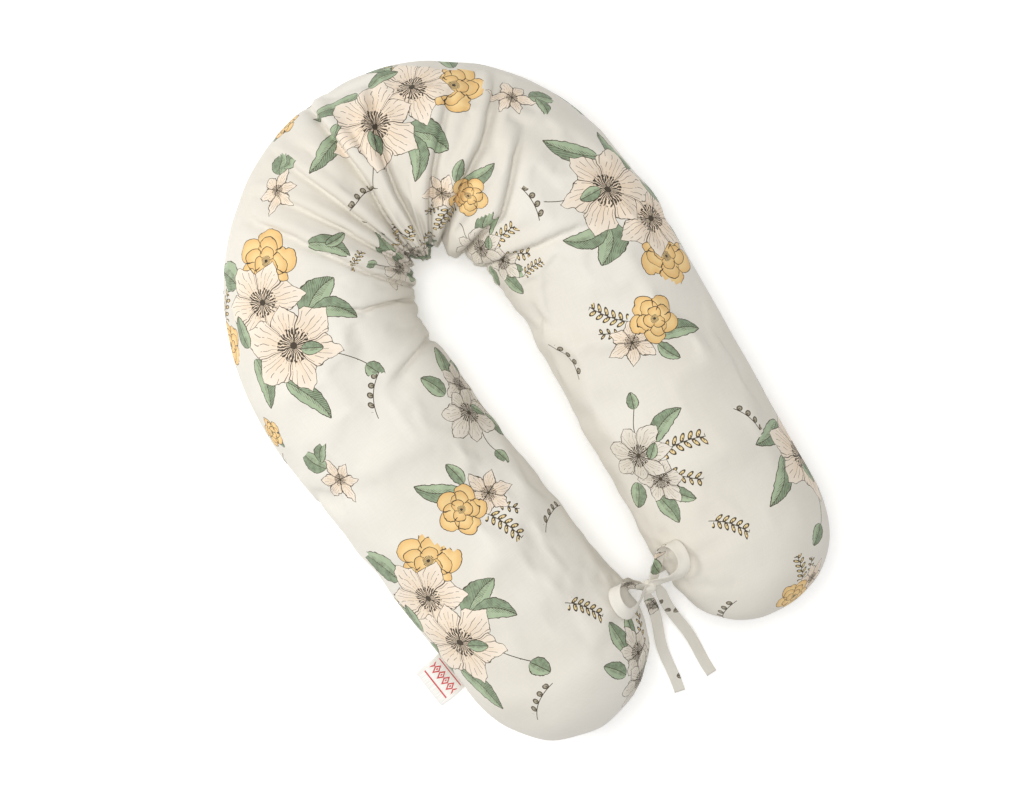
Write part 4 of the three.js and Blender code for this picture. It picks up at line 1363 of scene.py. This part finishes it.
def face_out(made):
    """Turns a closed mesh's faces outwards if its volume comes out negative."""
    mesh = made.data
    mesh.calc_loop_triangles()
    corners = np.empty(len(mesh.loop_triangles) * 3, np.int64)
    mesh.loop_triangles.foreach_get("vertices", corners)
    co = np.empty(len(mesh.vertices) * 3)
    mesh.vertices.foreach_get("co", co)
    a, b, c = co.reshape(-1, 3)[corners.reshape(-1, 3)].transpose(1, 0, 2)
    if np.einsum("ij,ij->i", a, np.cross(b, c)).sum() < 0:
        mesh.flip_normals()


# %% [markdown]
# ## The tie's print
#
# The strips are cut anywhere from the same cloth, so they show bits of leaves, ink and petals.

# %% Tie cotton
TIE_BITS = {
    "left tail": [
        element("leaf", "sage", 0.018, -0.002, 0.024, 10, Width=0.34, Bend=0.2),
        element("bloom", "white", 0.036, 0.004, 0.022, 10, Seed=2.0, Petals=6.0, Wide=0.9, Heart=0.5),
        element("leaf", "grey", 0.160, 0.003, 0.010, 60, Width=0.3, Bend=0.2),
    ],
    "right tail": [
        element("leaf", "grey", 0.034, -0.006, 0.009, 10, Width=0.3, Bend=0.2),
        element("leaf", "grey", 0.058, -0.005, 0.009, 30, Width=0.3, Bend=0.2),
        element("leaf", "grey", 0.070, 0.002, 0.015, 60, Width=0.3, Bend=0.2),
    ],
    "right loop": [
        element("bloom", "peach", 0.038, 0.016, 0.026, 10, Seed=2.0, Petals=6.0, Wide=0.5, Heart=0.3),
        element("leaf", "sage", 0.016, -0.006, 0.026, 40, Width=0.3, Bend=0.2),
    ],
    "left loop": [
        element("bloom", "white", 0.112, 0.004, 0.020, 60, Seed=1.0, Petals=6.0, Wide=0.8, Heart=0.35),
        element("leaf", "sage", 0.134, -0.005, 0.018, -60, Width=0.3, Bend=0.2),
    ],
}
TIE_PRINTS = {label: printed_material("tie cotton, " + label, bits) for label, bits in TIE_BITS.items()}
TIE_WIDTH = 0.014
TIE_THICKNESS = 0.0012

# %% [markdown]
# ## Knot and roots
#
# The knot is a small bundle with the last turn of cloth wound over it. Each root is the hidden part
# of a tie: it comes out of the leg's inner seam and climbs to the knot.

# %% Knot
KNOT_SIZE = knot_high - knot_low
KNOT_SWELL = np.array([1.16, 1.14, 1.14])  # the wound cloth stands proud of the mechanical knot


def soft_power(value):
    """|value| ^ 0.8 with the sign of value: it turns a ball into a soft box."""
    return np.sign(value) * np.abs(value) ** 0.8


def knot_surface(rings=56, columns=72):
    """A soft box: x, y and z are signed powers of a ball's sines and cosines. Slanting waves make the
    folds of the wound cloth, deepest at the two ends that the loops come out of."""
    v = np.linspace(0.03, math.pi - 0.03, rings)[:, None]
    u = np.linspace(0, 2 * math.pi, columns, endpoint=False)[None, :]
    x = soft_power(np.cos(v)) + 0 * u
    y = soft_power(np.sin(v)) * soft_power(np.cos(u))
    z = soft_power(np.sin(v)) * soft_power(np.sin(u))
    fold = 0.05 * np.sin(3 * u + 5 * x) * np.abs(x) + 0.035 * np.sin(7 * u - 4 * x)
    belt = 0.06 * np.exp(-((x + 0.15 * np.sin(u)) / 0.35) ** 4)
    size = 1 + fold * (1 - np.abs(x) * 0.3) + belt - 0.06
    half = KNOT_SIZE / 2 * KNOT_SWELL
    return np.stack([x, y * size, z * size], axis=2) * half + KNOT


flat, faces = closed_tube_mesh(knot_surface())
knot = new_object("bow_knot_wrapped", flat, faces)
face_out(knot)
MAP_CORNER = 0.3  # any place on the flat cloth will do for the knot
knot_map = flat[:, [0, 2]] - KNOT[[0, 2]] + MAP_CORNER
for label in ("print", "cloth"):
    write_map(knot.data, label, knot_map[corner_vertices(knot.data)])
shade_smooth(knot)
knot.data.materials.append(PRINTS["plain"])
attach(knot, "pillow_body")
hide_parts("bow_knot")


# %% Roots
def root_line(leg):
    """From inside the inner seam, past the bulge of the flank, and up to the knot's underside."""
    distance = leg["length"] - BOW_FROM_TIPS / math.cos(leg["lean"])
    seam = math.cos(math.asin((SEAM_HEIGHT - CENTRE_HEIGHT) / leg["half_height"]))
    inner = leg_point(leg, distance, -leg["half_width"] * seam + 0.003)
    elbow = leg_point(leg, distance, -leg["half_width"] - 0.0055)
    start = np.array([*inner, SEAM_HEIGHT])
    bend = np.array([*elbow, SEAM_HEIGHT + 0.006])
    end = KNOT + np.array([leg["side"] * 0.003, 0, -0.004])
    middle = (bend + end) / 2 + np.array([leg["side"] * 0.0005, 0, 0])
    return smooth_line([start, bend, middle, end], 40)


ROOTS = (("tie_left_root", left_leg), ("tie_right_root", right_leg))
for node, leg in ROOTS:
    line = root_line(leg)
    taper = np.clip(np.linspace(0, 6, len(line))[::-1], 0.62, 1)
    made, length = ribbon(node + "_strip", line, (0, 1, 0), TIE_WIDTH * taper, TIE_THICKNESS, 0.0003, 1.0)
    made.data.materials.append(PRINTS["plain"])
    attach(made, "pillow_body")
    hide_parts(node)
    print(node, "length", round(length, 3))

# %% [markdown]
# ## Tails
#
# The two tails fall from the knot to the floor between the tips and lie there, cut square.

# %% Tails
def tail_line(start, heading, foot, reach, wave):
    """Quadratic curve from the knot to the floor, seen from the side, with a slow sideways wave."""
    t = np.linspace(0, 1, 80)[:, None]
    rise = start[2]
    floor = TIE_THICKNESS / 2 + 0.0004
    side_view = (1 - t) ** 2 * [0, rise] + 2 * t * (1 - t) * [foot, floor] + t**2 * [reach, floor]
    forward = np.array([math.sin(heading), -math.cos(heading)])
    right = np.array([-forward[1], forward[0]])
    sway = wave * np.sin(t * math.pi * 2.2) * np.sin(t * math.pi)
    plan = start[:2] + forward * side_view[:, :1] + right * sway
    ripple = 0.0012 * (1 - np.cos(t * 15)) * t * (1 - t) * 2
    return np.column_stack([plan, side_view[:, 1:] + ripple]), np.array([*right, 0.0])


TAILS = (
    ("left_tail", "tie_left_tail", (0.0075, -0.2842, 0.1), math.radians(-13), 0.052, 0.1382, 0.0030),
    ("right_tail", "tie_right_tail", (0.0222, -0.2842, 0.1), math.radians(-0.5), 0.058, 0.1372, -0.0024),
)
for body, node, start, heading, foot, reach, wave in TAILS:
    line, right = tail_line(np.array(start), heading, foot, reach, wave)
    t = np.linspace(0, 1, len(line))
    opened = np.clip(t / 0.12, 0, 1)
    width = TIE_WIDTH * (0.6 + 0.4 * opened * opened * (3 - 2 * opened)) * 0.96
    depth = TIE_THICKNESS * (1.9 - 0.9 * opened)
    twist = 0.5 * (1 - opened) * (1 if body == "left_tail" else -0.6)
    across = right + np.array([0, 0, 1.0]) * twist[:, None]
    seed = 2.0 if body == "left_tail" else 4.0
    made, length = ribbon(node + "_strip", line, across, width, depth, 0.00035, seed)
    made.data.materials.append(TIE_PRINTS[body.replace("_", " ")])
    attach(made, body)
    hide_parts(node)
    print(node, "length", round(length, 3))

# %% [markdown]
# ## Loops
#
# A loop is a strip that leaves the knot, turns over and comes back. Its line is a pear curve in a
# plane that climbs away from the knot, with the strip's width square to that plane. The plane is
# tilted a little, so that one side shows its back and the other its face, and the line is lifted
# wherever the strip would sink into the pillow.

# %% Loops
top_faces = tube_faces(FINE_RINGS, top_points.shape[1], columns_close=False)
cover_tree = BVHTree.FromPolygons(top_points.reshape(-1, 3).tolist(), top_faces.tolist())


def cover_height(points):
    """Height of the cover under each point, found by dropping a ray on it; minus one where it misses."""
    hits = [cover_tree.ray_cast(Vector((p[0], p[1], 1.0)), Vector((0, 0, -1)))[0] for p in points]
    return np.array([hit.z if hit else -1.0 for hit in hits])


LOOP_FLAT = 0.8  # how far the far end of a loop lies flat: 0 not at all, 1 fully
LOOP_BANK = 1.1  # how far its front run leans back to show its face
LIFT_CLEAR = 0.0022  # least height of a loop over the cover
LIFT_FADE = 7        # samples over which the lift fades out at the knot
LIFT_SMOOTHING = 30


def loop_line(root, turn, slope, tilt, length, spread, front, count=96):
    """Pear curve: x = length * (1 - cos t) / 2 and y = spread * 1.54 * sin t * sin(t / 2)^2.

    The strip's width starts square to the curve's plane, turns towards lying flat at its far end,
    and leans over on the front run, which is the first half of the curve or the second."""
    out = np.array([math.cos(slope) * math.cos(turn), math.cos(slope) * math.sin(turn), math.sin(slope)])
    level = np.array([-math.sin(turn), math.cos(turn), 0])
    up = np.cross(out, level)
    away = math.cos(tilt) * level - math.sin(tilt) * up
    across = math.cos(tilt) * up + math.sin(tilt) * level
    t = np.linspace(0.12, 2 * math.pi - 0.12, count)
    x = length * (1 - np.cos(t)) / 2
    y = spread * 1.54 * np.sin(t) * np.sin(t / 2) ** 2
    flat_turn = (LOOP_FLAT * (math.pi / 2 - slope) * np.sin(t / 2) ** 2)[:, None]
    bank = LOOP_BANK * np.clip(4 * front * np.sin(t), 0, 1)[:, None] * math.copysign(1, tilt)
    width_way = np.cos(flat_turn) * across - np.sin(flat_turn) * out + bank * level
    return root + x[:, None] * out + y[:, None] * away, unit(width_way)


def lifted(line, across, width):
    """The line raised so that both edges of its strip stay clear of the cover."""
    low = line[:, 2] - cover_height(line)
    for side in (-1, 1):
        strip_edge = line + side * across * width / 2
        low = np.minimum(low, strip_edge[:, 2] - cover_height(strip_edge))
    need = np.maximum(LIFT_CLEAR - low, 0)
    away = np.minimum(np.arange(len(line)), np.arange(len(line))[::-1]) / LIFT_FADE
    fade = np.clip(away, 0, 1)
    for _ in range(LIFT_SMOOTHING):
        need = np.maximum(need, np.convolve(np.pad(need, 1, mode="edge"), [0.25, 0.5, 0.25], "valid"))
    return line + np.array([0, 0, 1.0]) * (need * fade)[:, None]


LOOPS = (
    ("left_loop", "tie_left_loop", (0.0115, -0.2788, 0.1065), 168, 46, -8, 0.058, 0.0175, 1),
    ("right_loop", "tie_right_loop", (0.0170, -0.2786, 0.1065), 22, 38, 34, 0.066, 0.0190, -1),
)
for body, node, root, turn, slope, tilt, length, spread, front in LOOPS:
    line, across = loop_line(np.array(root), *np.radians([turn, slope, tilt]), length, spread, front)
    line = lifted(line, across, TIE_WIDTH)
    t = np.linspace(0, 1, len(line))
    near = np.clip(np.minimum(t, 1 - t) / 0.09, 0, 1)
    width = TIE_WIDTH * (0.72 + 0.28 * near * near * (3 - 2 * near)) * 1.02
    depth = TIE_THICKNESS * (1.5 - 0.5 * near)
    made, run = ribbon(node + "_strip", line, across, width, depth, 0.0004, turn / 40)
    made.data.materials.append(TIE_PRINTS[body.replace("_", " ")])
    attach(made, body)
    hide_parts(node)
    print(node, "length", round(run, 3))

# %% [markdown]
# ## Labels
#
# A woven satin tag is sewn into the outer seam of the left leg and curls up past the bulge of the
# flank. Its mark is a plain woven border with a row of small diamonds. The washing label is blank.
# Both are the ribbon surface again, on a line drawn as seen from the side, with a satin finish.

# %% Satin
def satin_material(name, marked):
    """Satin: long floats along the label, so a fine stripe and a strong sheen. The mark is drawn from
    the label's own map in metres: two bars along the edges, and diamonds, |x| + |y| < size, between."""
    material = bpy.data.materials.new(name)
    material.use_nodes = True
    s = Sums(material.node_tree)
    shader = material.node_tree.nodes["Principled BSDF"]
    cloth_map = s.add("ShaderNodeUVMap", uv_map="cloth").outputs[0]
    x, y = s.split(cloth_map)
    stripe = s.math("SINE", s.times(y, 2 * math.pi * 2600))
    stretched = s.add("ShaderNodeMapping")
    s.put(cloth_map, stretched.inputs["Vector"])
    stretched.inputs["Scale"].default_value = (60, 1500, 1)
    floats = s.noise(stretched.outputs[0], 1.0, 2.0)
    color = s.mix(s.ramp(floats, 0.3, 0.7), srgb(250, 249, 246), srgb(232, 230, 224))
    if marked:
        bar = s.less(s.size(s.minus(s.size(s.minus(x, MARK_MIDDLE)), 0.0125)), 0.0009)
        cell = s.size(s.minus(s.math("FRACT", s.over(y, 0.0085)), 0.5))
        spread = s.plus(s.times(cell, 0.0085), s.times(s.size(s.minus(x, MARK_MIDDLE)), 0.55))
        ring = s.either(s.times(s.less(spread, 0.0042), s.more(spread, 0.0024)), s.less(spread, 0.0011))
        within = s.less(s.size(y), 0.0205)
        thread = s.ramp(stripe, -1.0, 1.0, 0.9, 1.0)
        mark = s.times(s.either(bar, ring), s.times(within, thread))
        color = s.mix(mark, color, srgb(206, 26, 38))
    s.put(color, shader.inputs["Base Color"])
    shader.inputs["Roughness"].default_value = 0.42
    shader.inputs["Anisotropic"].default_value = 0.5
    shader.inputs["Sheen Weight"].default_value = 0.2
    bump = bump_node(s, s.plus(stripe, floats), 0.4, 0.00006)
    s.put(bump.outputs[0], shader.inputs["Normal"])
    return material


MARK_MIDDLE = 0.026
SATIN_THICKNESS = 0.0006

# %% Label pieces
def label_piece(name, node, body, from_tips, side_view, width, material, lift):
    """A satin strip whose line is drawn in the plane square to the seam, in metres outwards and up."""
    distance = left_leg["length"] - from_tips / math.cos(left_leg["lean"])
    seam = math.cos(math.asin((SEAM_HEIGHT - CENTRE_HEIGHT) / LEFT["half_height"]))
    root = np.array([*leg_point(left_leg, distance, LEFT["half_width"] * seam), SEAM_HEIGHT + lift])
    out = np.array([*left_leg["outward"], 0])
    seam_way = np.array([*left_leg["along"], 0])
    points = [root + out * y + np.array([0, 0, z]) for y, z in side_view]
    line = smooth_line(points, 60)
    made, length = ribbon(name, line, seam_way, width, SATIN_THICKNESS, 0.00035, 5.0)
    made.data.materials.append(material)
    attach(made, body)
    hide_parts(node)
    print(name, "length", round(length, 3))


TAG_LINE = [
    (-0.004, 0.0), (0.003, 0.002), (0.010, 0.010), (0.019, 0.0165), (0.029, 0.0175), (0.0385, 0.0155),
]
CARE_LINE = [(-0.003, 0.0), (0.0022, -0.0025), (0.0048, -0.012), (0.0046, -0.025), (0.0062, -0.038)]
TAG_SATIN = satin_material("tag satin", True)
CARE_SATIN = satin_material("washing label satin", False)
label_piece("woven_tag", "brand_label", "brand_flap", 0.158, TAG_LINE, 0.050, TAG_SATIN, 0.0)
label_piece("washing_label", "care_label", "care_flap", 0.330, CARE_LINE, 0.030, CARE_SATIN, -0.0005)

# %% [markdown]
# ## Inner casing and filling
#
# Inside the cover is a plain cotton casing, and inside that the fibre. Both follow the cover's own
# surface a few millimetres in, so that nothing pokes through when the cover is taken off.

# %% Plain finishes
def plain_material(name, light, dark, roughness, bump_scale, bump_distance, sheen=0.0, metallic=0.0):
    """A finish without print: two tones by a slow noise and a fine bump by a quick one."""
    material = bpy.data.materials.new(name)
    material.use_nodes = True
    s = Sums(material.node_tree)
    shader = material.node_tree.nodes["Principled BSDF"]
    place = s.add("ShaderNodeTexCoord").outputs["Object"]
    s.put(s.mix(s.ramp(s.noise(place, 40.0, 3.0), 0.3, 0.7), light, dark), shader.inputs["Base Color"])
    shader.inputs["Roughness"].default_value = roughness
    shader.inputs["Sheen Weight"].default_value = sheen
    shader.inputs["Metallic"].default_value = metallic
    bump = bump_node(s, s.noise(place, bump_scale, 3.0), 0.5, bump_distance)
    s.put(bump.outputs[0], shader.inputs["Normal"])
    return material


CASING_COTTON = plain_material(
    "casing cotton", srgb(246, 245, 240), srgb(236, 234, 228), 0.9, 1800, 0.0001, 0.1
)
FIBRE = plain_material("fibre", srgb(252, 252, 250), srgb(240, 240, 238), 1.0, 420, 0.0015, 0.3)
ZIP_TAPE = plain_material(
    "zip tape", srgb(233, 228, 214), srgb(222, 216, 200), 0.85, 2400, 0.00015, 0.1
)
NYLON = plain_material("zip nylon", srgb(226, 221, 208), srgb(214, 208, 194), 0.4, 900, 0.00003)
METAL = plain_material(
    "zip metal", srgb(205, 205, 208), srgb(188, 188, 192), 0.34, 1200, 0.00002, 0.0, 0.9
)

# %% Casing and filling
def lowest_near(values, passes):
    """Each pass gives every corner the lowest value among itself and its four neighbours."""
    for _ in range(passes):
        padded = np.concatenate([values[:1], values, values[-1:]])
        around = np.minimum(np.roll(values, 1, axis=1), np.roll(values, -1, axis=1))
        along = np.minimum(padded[:-2], padded[2:])
        values = np.minimum(values, np.minimum(around, along))
    return values


CALM_PASSES = 3
cover_height_over_smooth = ((settled_tube - smooth_tube) * normals).sum(axis=2)
inner_height = blurred(lowest_near(cover_height_over_smooth, CALM_PASSES), CALM_PASSES)
zip_depth = zip_ends * np.exp(-(((wrapped_angle + 18) / 16) ** 4))
INSET = 0.0062             # from the cover to the casing, on top
ZIP_ROOM = 0.0022          # how much more room there is behind the zip
FILLING_INSET = 0.0026     # from the casing to the filling
CASING_THICKNESS = 0.0009
inset = INSET * (0.35 + 0.65 * np.clip(underneath, 0, 1))


def inset_tube(depth, zip_extra):
    """The smooth tube, lowered to the bottoms of the folds and by depth, and further behind the zip.
    It never reaches the floor."""
    inside = smooth_tube + normals * (inner_height - depth - zip_extra * zip_depth)[:, :, None]
    inside[:, :, 2] = np.maximum(inside[:, :, 2], depth)
    return inside


def inner_panel(name, node, points, thickness):
    """A plain cotton panel of the casing, as one sheet cut to the cover's shape."""
    made = panel(name, points, casing_tube)
    thicken(made, thickness)
    shade_smooth(made)
    made.data.materials.append(CASING_COTTON)
    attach(made, "pillow_body")
    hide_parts(node)


casing_tube = inset_tube(inset, ZIP_ROOM)
casing_low_points = np.concatenate([casing_tube[:, TOP_COLUMNS:], casing_tube[:, :1]], axis=1)
inner_panel("casing_top", "inner_casing_top", casing_tube[:, : TOP_COLUMNS + 1], CASING_THICKNESS)
inner_panel("casing_bottom", "inner_casing_bottom", casing_low_points, CASING_THICKNESS)
small_tufts = np.sin(ring_length * 260) * np.sin(girth * 240 + 1)
tufts = 0.0006 * (small_tufts + np.sin(ring_length * 150 + 2) * np.sin(girth * 410))
filling_tube = inset_tube(inset + FILLING_INSET - tufts, ZIP_ROOM)
flat, faces = closed_tube_mesh(filling_tube)
filling = new_object("fibre_body", flat, faces)
face_out(filling)
shade_smooth(filling)
filling.data.materials.append(FIBRE)
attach(filling, "pillow_body")
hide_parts("fibre_filling")

# %% [markdown]
# ## The zip
#
# The zip lies in the seam on the outer side of the right leg. Its coil is two long springs of nylon,
# so each is a thin tube carried along a helix. The tapes and the crimped stops are the mechanical
# model's own. The slider and its pull are copies of them with their edges rounded.

# %% The zip's own frame
BAND_LOW = math.asin((0.034 - CENTRE_HEIGHT) / RIGHT["half_height"])
BAND_HIGH = math.asin((0.066 - CENTRE_HEIGHT) / RIGHT["half_height"])


def zip_frame():
    """Middle of the zip and its axes: along the seam towards the bend, up the flank, and out of it.

    The flank is flat there: it is the chord of the section between two heights."""
    low, high = (CENTRE_HEIGHT + RIGHT["half_height"] * math.sin(a) for a in (BAND_LOW, BAND_HIGH))
    share = (SEAM_HEIGHT - low) / (high - low)
    offset = RIGHT["half_width"] * (math.cos(BAND_LOW) * (1 - share) + math.cos(BAND_HIGH) * share)
    middle = np.array([*leg_point(right_leg, STRAIGHT_RIGHT / 2, offset), SEAM_HEIGHT])
    run = RIGHT["half_width"] * (math.cos(BAND_HIGH) - math.cos(BAND_LOW))
    up = unit(np.array([*(right_leg["outward"] * run), high - low]))
    along = np.array([*-right_leg["along"], 0])
    return middle, along, up, np.cross(along, up)


ZIP_MIDDLE, ZIP_ALONG, ZIP_UP, ZIP_OUT = zip_frame()
print("zip middle", ZIP_MIDDLE.round(5))

# %% Coils
COIL_HALF = ZIP_HALF - 0.0156
COIL_PITCH = 0.0016
COIL_SIDES = 6
COIL_STEPS = 12


def coil(name, node, flank):
    """A round wire along a helix: across = 1.6 mm + 0.64 cos(a), out = 0.9 mm + 0.94 sin(a)."""
    steps = int(2 * COIL_HALF / COIL_PITCH * COIL_STEPS)
    distance = np.linspace(-COIL_HALF + 0.0005, COIL_HALF - 0.0005, steps)
    turn = 2 * math.pi * distance / COIL_PITCH + (0 if flank > 0 else math.pi)
    across = flank * (0.0016 + 0.00064 * np.cos(turn))
    out = 0.0009 + 0.00094 * np.sin(turn)
    line = ZIP_MIDDLE + distance[:, None] * ZIP_ALONG + across[:, None] * ZIP_UP + out[:, None] * ZIP_OUT
    forward = unit(np.gradient(line, axis=0))
    side = unit(np.cross(forward, ZIP_ALONG))
    third = np.cross(forward, side)
    corner = np.linspace(0, 2 * math.pi, COIL_SIDES, endpoint=False)
    ring = side[:, None] * np.cos(corner)[:, None] + third[:, None] * np.sin(corner)[:, None]
    flat, faces = closed_tube_mesh(line[:, None] + 0.00026 * ring)
    made = new_object(name, flat, faces)
    face_out(made)
    shade_smooth(made)
    made.data.materials.append(NYLON)
    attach(made, "pillow_body")
    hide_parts(node)


coil("zip_coil_upper", "zip_teeth_upper", 1)
coil("zip_coil_lower", "zip_teeth_lower", -1)

# %% Slider and pull
def rounded_copy(name, node, body, edge):
    """A copy of a mechanical piece with its loose triangles merged and its edges bevelled."""
    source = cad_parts[node]
    mesh = source.data.copy()
    mesh.materials.clear()
    work = bmesh.new()
    work.from_mesh(mesh)
    bmesh.ops.remove_doubles(work, verts=work.verts, dist=1e-6)
    bmesh.ops.dissolve_limit(work, angle_limit=0.01, verts=work.verts, edges=work.edges)
    work.to_mesh(mesh)
    work.free()
    made = bpy.data.objects.new(name, mesh)
    bpy.context.scene.collection.objects.link(made)
    bevel = made.modifiers.new("edges", "BEVEL")
    bevel.width = edge
    bevel.segments = 3
    bevel.limit_method = "ANGLE"
    made.data.materials.append(METAL)
    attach(made, body)
    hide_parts(node)


rounded_copy("zip_slider_body", "zip_slider", "slider", 0.00016)
rounded_copy("zip_pull", "zip_pull_tab", "pull_tab", 0.00028)
for node, finish in (
    ("zip_tape_upper", ZIP_TAPE), ("zip_tape_lower", ZIP_TAPE), ("zip_top_stop_upper", METAL),
    ("zip_top_stop_lower", METAL), ("zip_bottom_stop", METAL),
):
    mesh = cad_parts[node].data
    mesh.materials.clear()
    mesh.materials.append(finish)

# %% Stitches beside the zip
STITCH = {"length": 0.0023, "pitch": 0.0031, "radius": 0.00024, "from_edge": 0.0026}


def stitches(name, points, opened):
    """A row of short threads on a panel's surface, a fixed distance behind its open edge. Each is a
    capsule: its radius at share u along it is radius * (1 - (2 u - 1)^4) ^ 0.5."""
    rings = np.nonzero(opened > ZIP_GAP * 0.98)[0]
    spacing = np.linalg.norm(points[rings, 1] - points[rings, 0], axis=1)
    place = np.minimum(STITCH["from_edge"] / spacing, EDGE_COLUMNS)
    low = place.astype(int)
    part = (place - low)[:, None]
    line = points[rings, low] * (1 - part) + points[rings, low + 1] * part
    length = lengths_along(line)
    middle_at = np.arange(STITCH["pitch"], length[-1] - STITCH["pitch"], STITCH["pitch"])
    middle = np.column_stack([np.interp(middle_at, length, axis) for axis in line.T])
    forward = unit(np.gradient(middle, axis=0))
    out = unit(ZIP_OUT - (forward @ ZIP_OUT)[:, None] * forward)
    side = np.cross(forward, out)
    share = np.linspace(0.04, 0.96, 6)
    swell = STITCH["radius"] * np.sqrt(1 - (2 * share - 1) ** 4)
    corner = np.linspace(0, 2 * math.pi, 6, endpoint=False)
    x = (share - 0.5) * STITCH["length"]
    grid = (
        middle[:, None, None]
        + forward[:, None, None] * x[None, :, None, None]
        + side[:, None, None] * (swell[:, None] * np.cos(corner))[None, :, :, None]
        + out[:, None, None] * (swell[:, None] * np.sin(corner) + 0.00008)[None, :, :, None]
    )
    one, faces = closed_tube_mesh(grid[0])
    everything = np.concatenate([closed_tube_mesh(part_grid)[0] for part_grid in grid])
    all_faces = [[v + k * len(one) for v in face] for k in range(len(grid)) for face in faces]
    made = new_object(name, everything, all_faces)
    face_out(made)
    shade_smooth(made)
    made.data.materials.append(THREAD)
    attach(made, "pillow_body")
    print(name, len(grid), "stitches")


THREAD = plain_material("sewing thread", srgb(240, 236, 226), srgb(226, 221, 208), 0.6, 3000, 0.00005, 0.2)
stitches("zip_stitches_upper", top_points, opening)
stitches("zip_stitches_lower", low_points[:, ::-1], opening)

# %% Floor and light
FLOOR_REACH = 15
FLOOR_LEVEL = -0.0005
FLOOR_SIDES = ((-1, -1), (1, -1), (1, 1), (-1, 1))
floor_corners = [(x * FLOOR_REACH, y * FLOOR_REACH, FLOOR_LEVEL) for x, y in FLOOR_SIDES]
floor = new_object("floor", floor_corners, [(0, 1, 2, 3)])
paper = bpy.data.materials.new("paper")
paper.use_nodes = True
paper_inputs = paper.node_tree.nodes["Principled BSDF"].inputs
paper_inputs["Base Color"].default_value = (0.97, 0.97, 0.97, 1)
paper_inputs["Roughness"].default_value = 0.9
paper_inputs["Emission Color"].default_value = (1, 1, 1, 1)
paper_inputs["Emission Strength"].default_value = 0.19
floor.data.materials.append(paper)


def soft_light(name, place, size, power, color=(1, 1, 1)):
    """A square area light aimed at the pillow's middle."""
    light = bpy.data.objects.new(name, bpy.data.lights.new(name, "AREA"))
    light.data.size = size
    light.data.energy = power
    light.data.color = color
    light.location = place
    direction = np.array([0, 0, 0.05]) - np.array(place)
    light.rotation_euler = Vector(direction).to_track_quat("-Z", "Y").to_euler()
    bpy.context.scene.collection.objects.link(light)


soft_light("overhead", (-0.1, 0.2, 3.4), 1.4, 60, (1, 0.99, 0.975))
soft_light("key", (-1.7, 1.3, 1.5), 0.9, 21, (1, 0.985, 0.955))
world = bpy.data.worlds.new("studio")
world.use_nodes = True
world.node_tree.nodes["Background"].inputs["Color"].default_value = (1, 1, 1, 1)
world.node_tree.nodes["Background"].inputs["Strength"].default_value = 0.405
bpy.context.scene.world = world
bpy.context.scene.view_settings.view_transform = "Standard"

# %% Update the scene
bpy.context.view_layer.update()
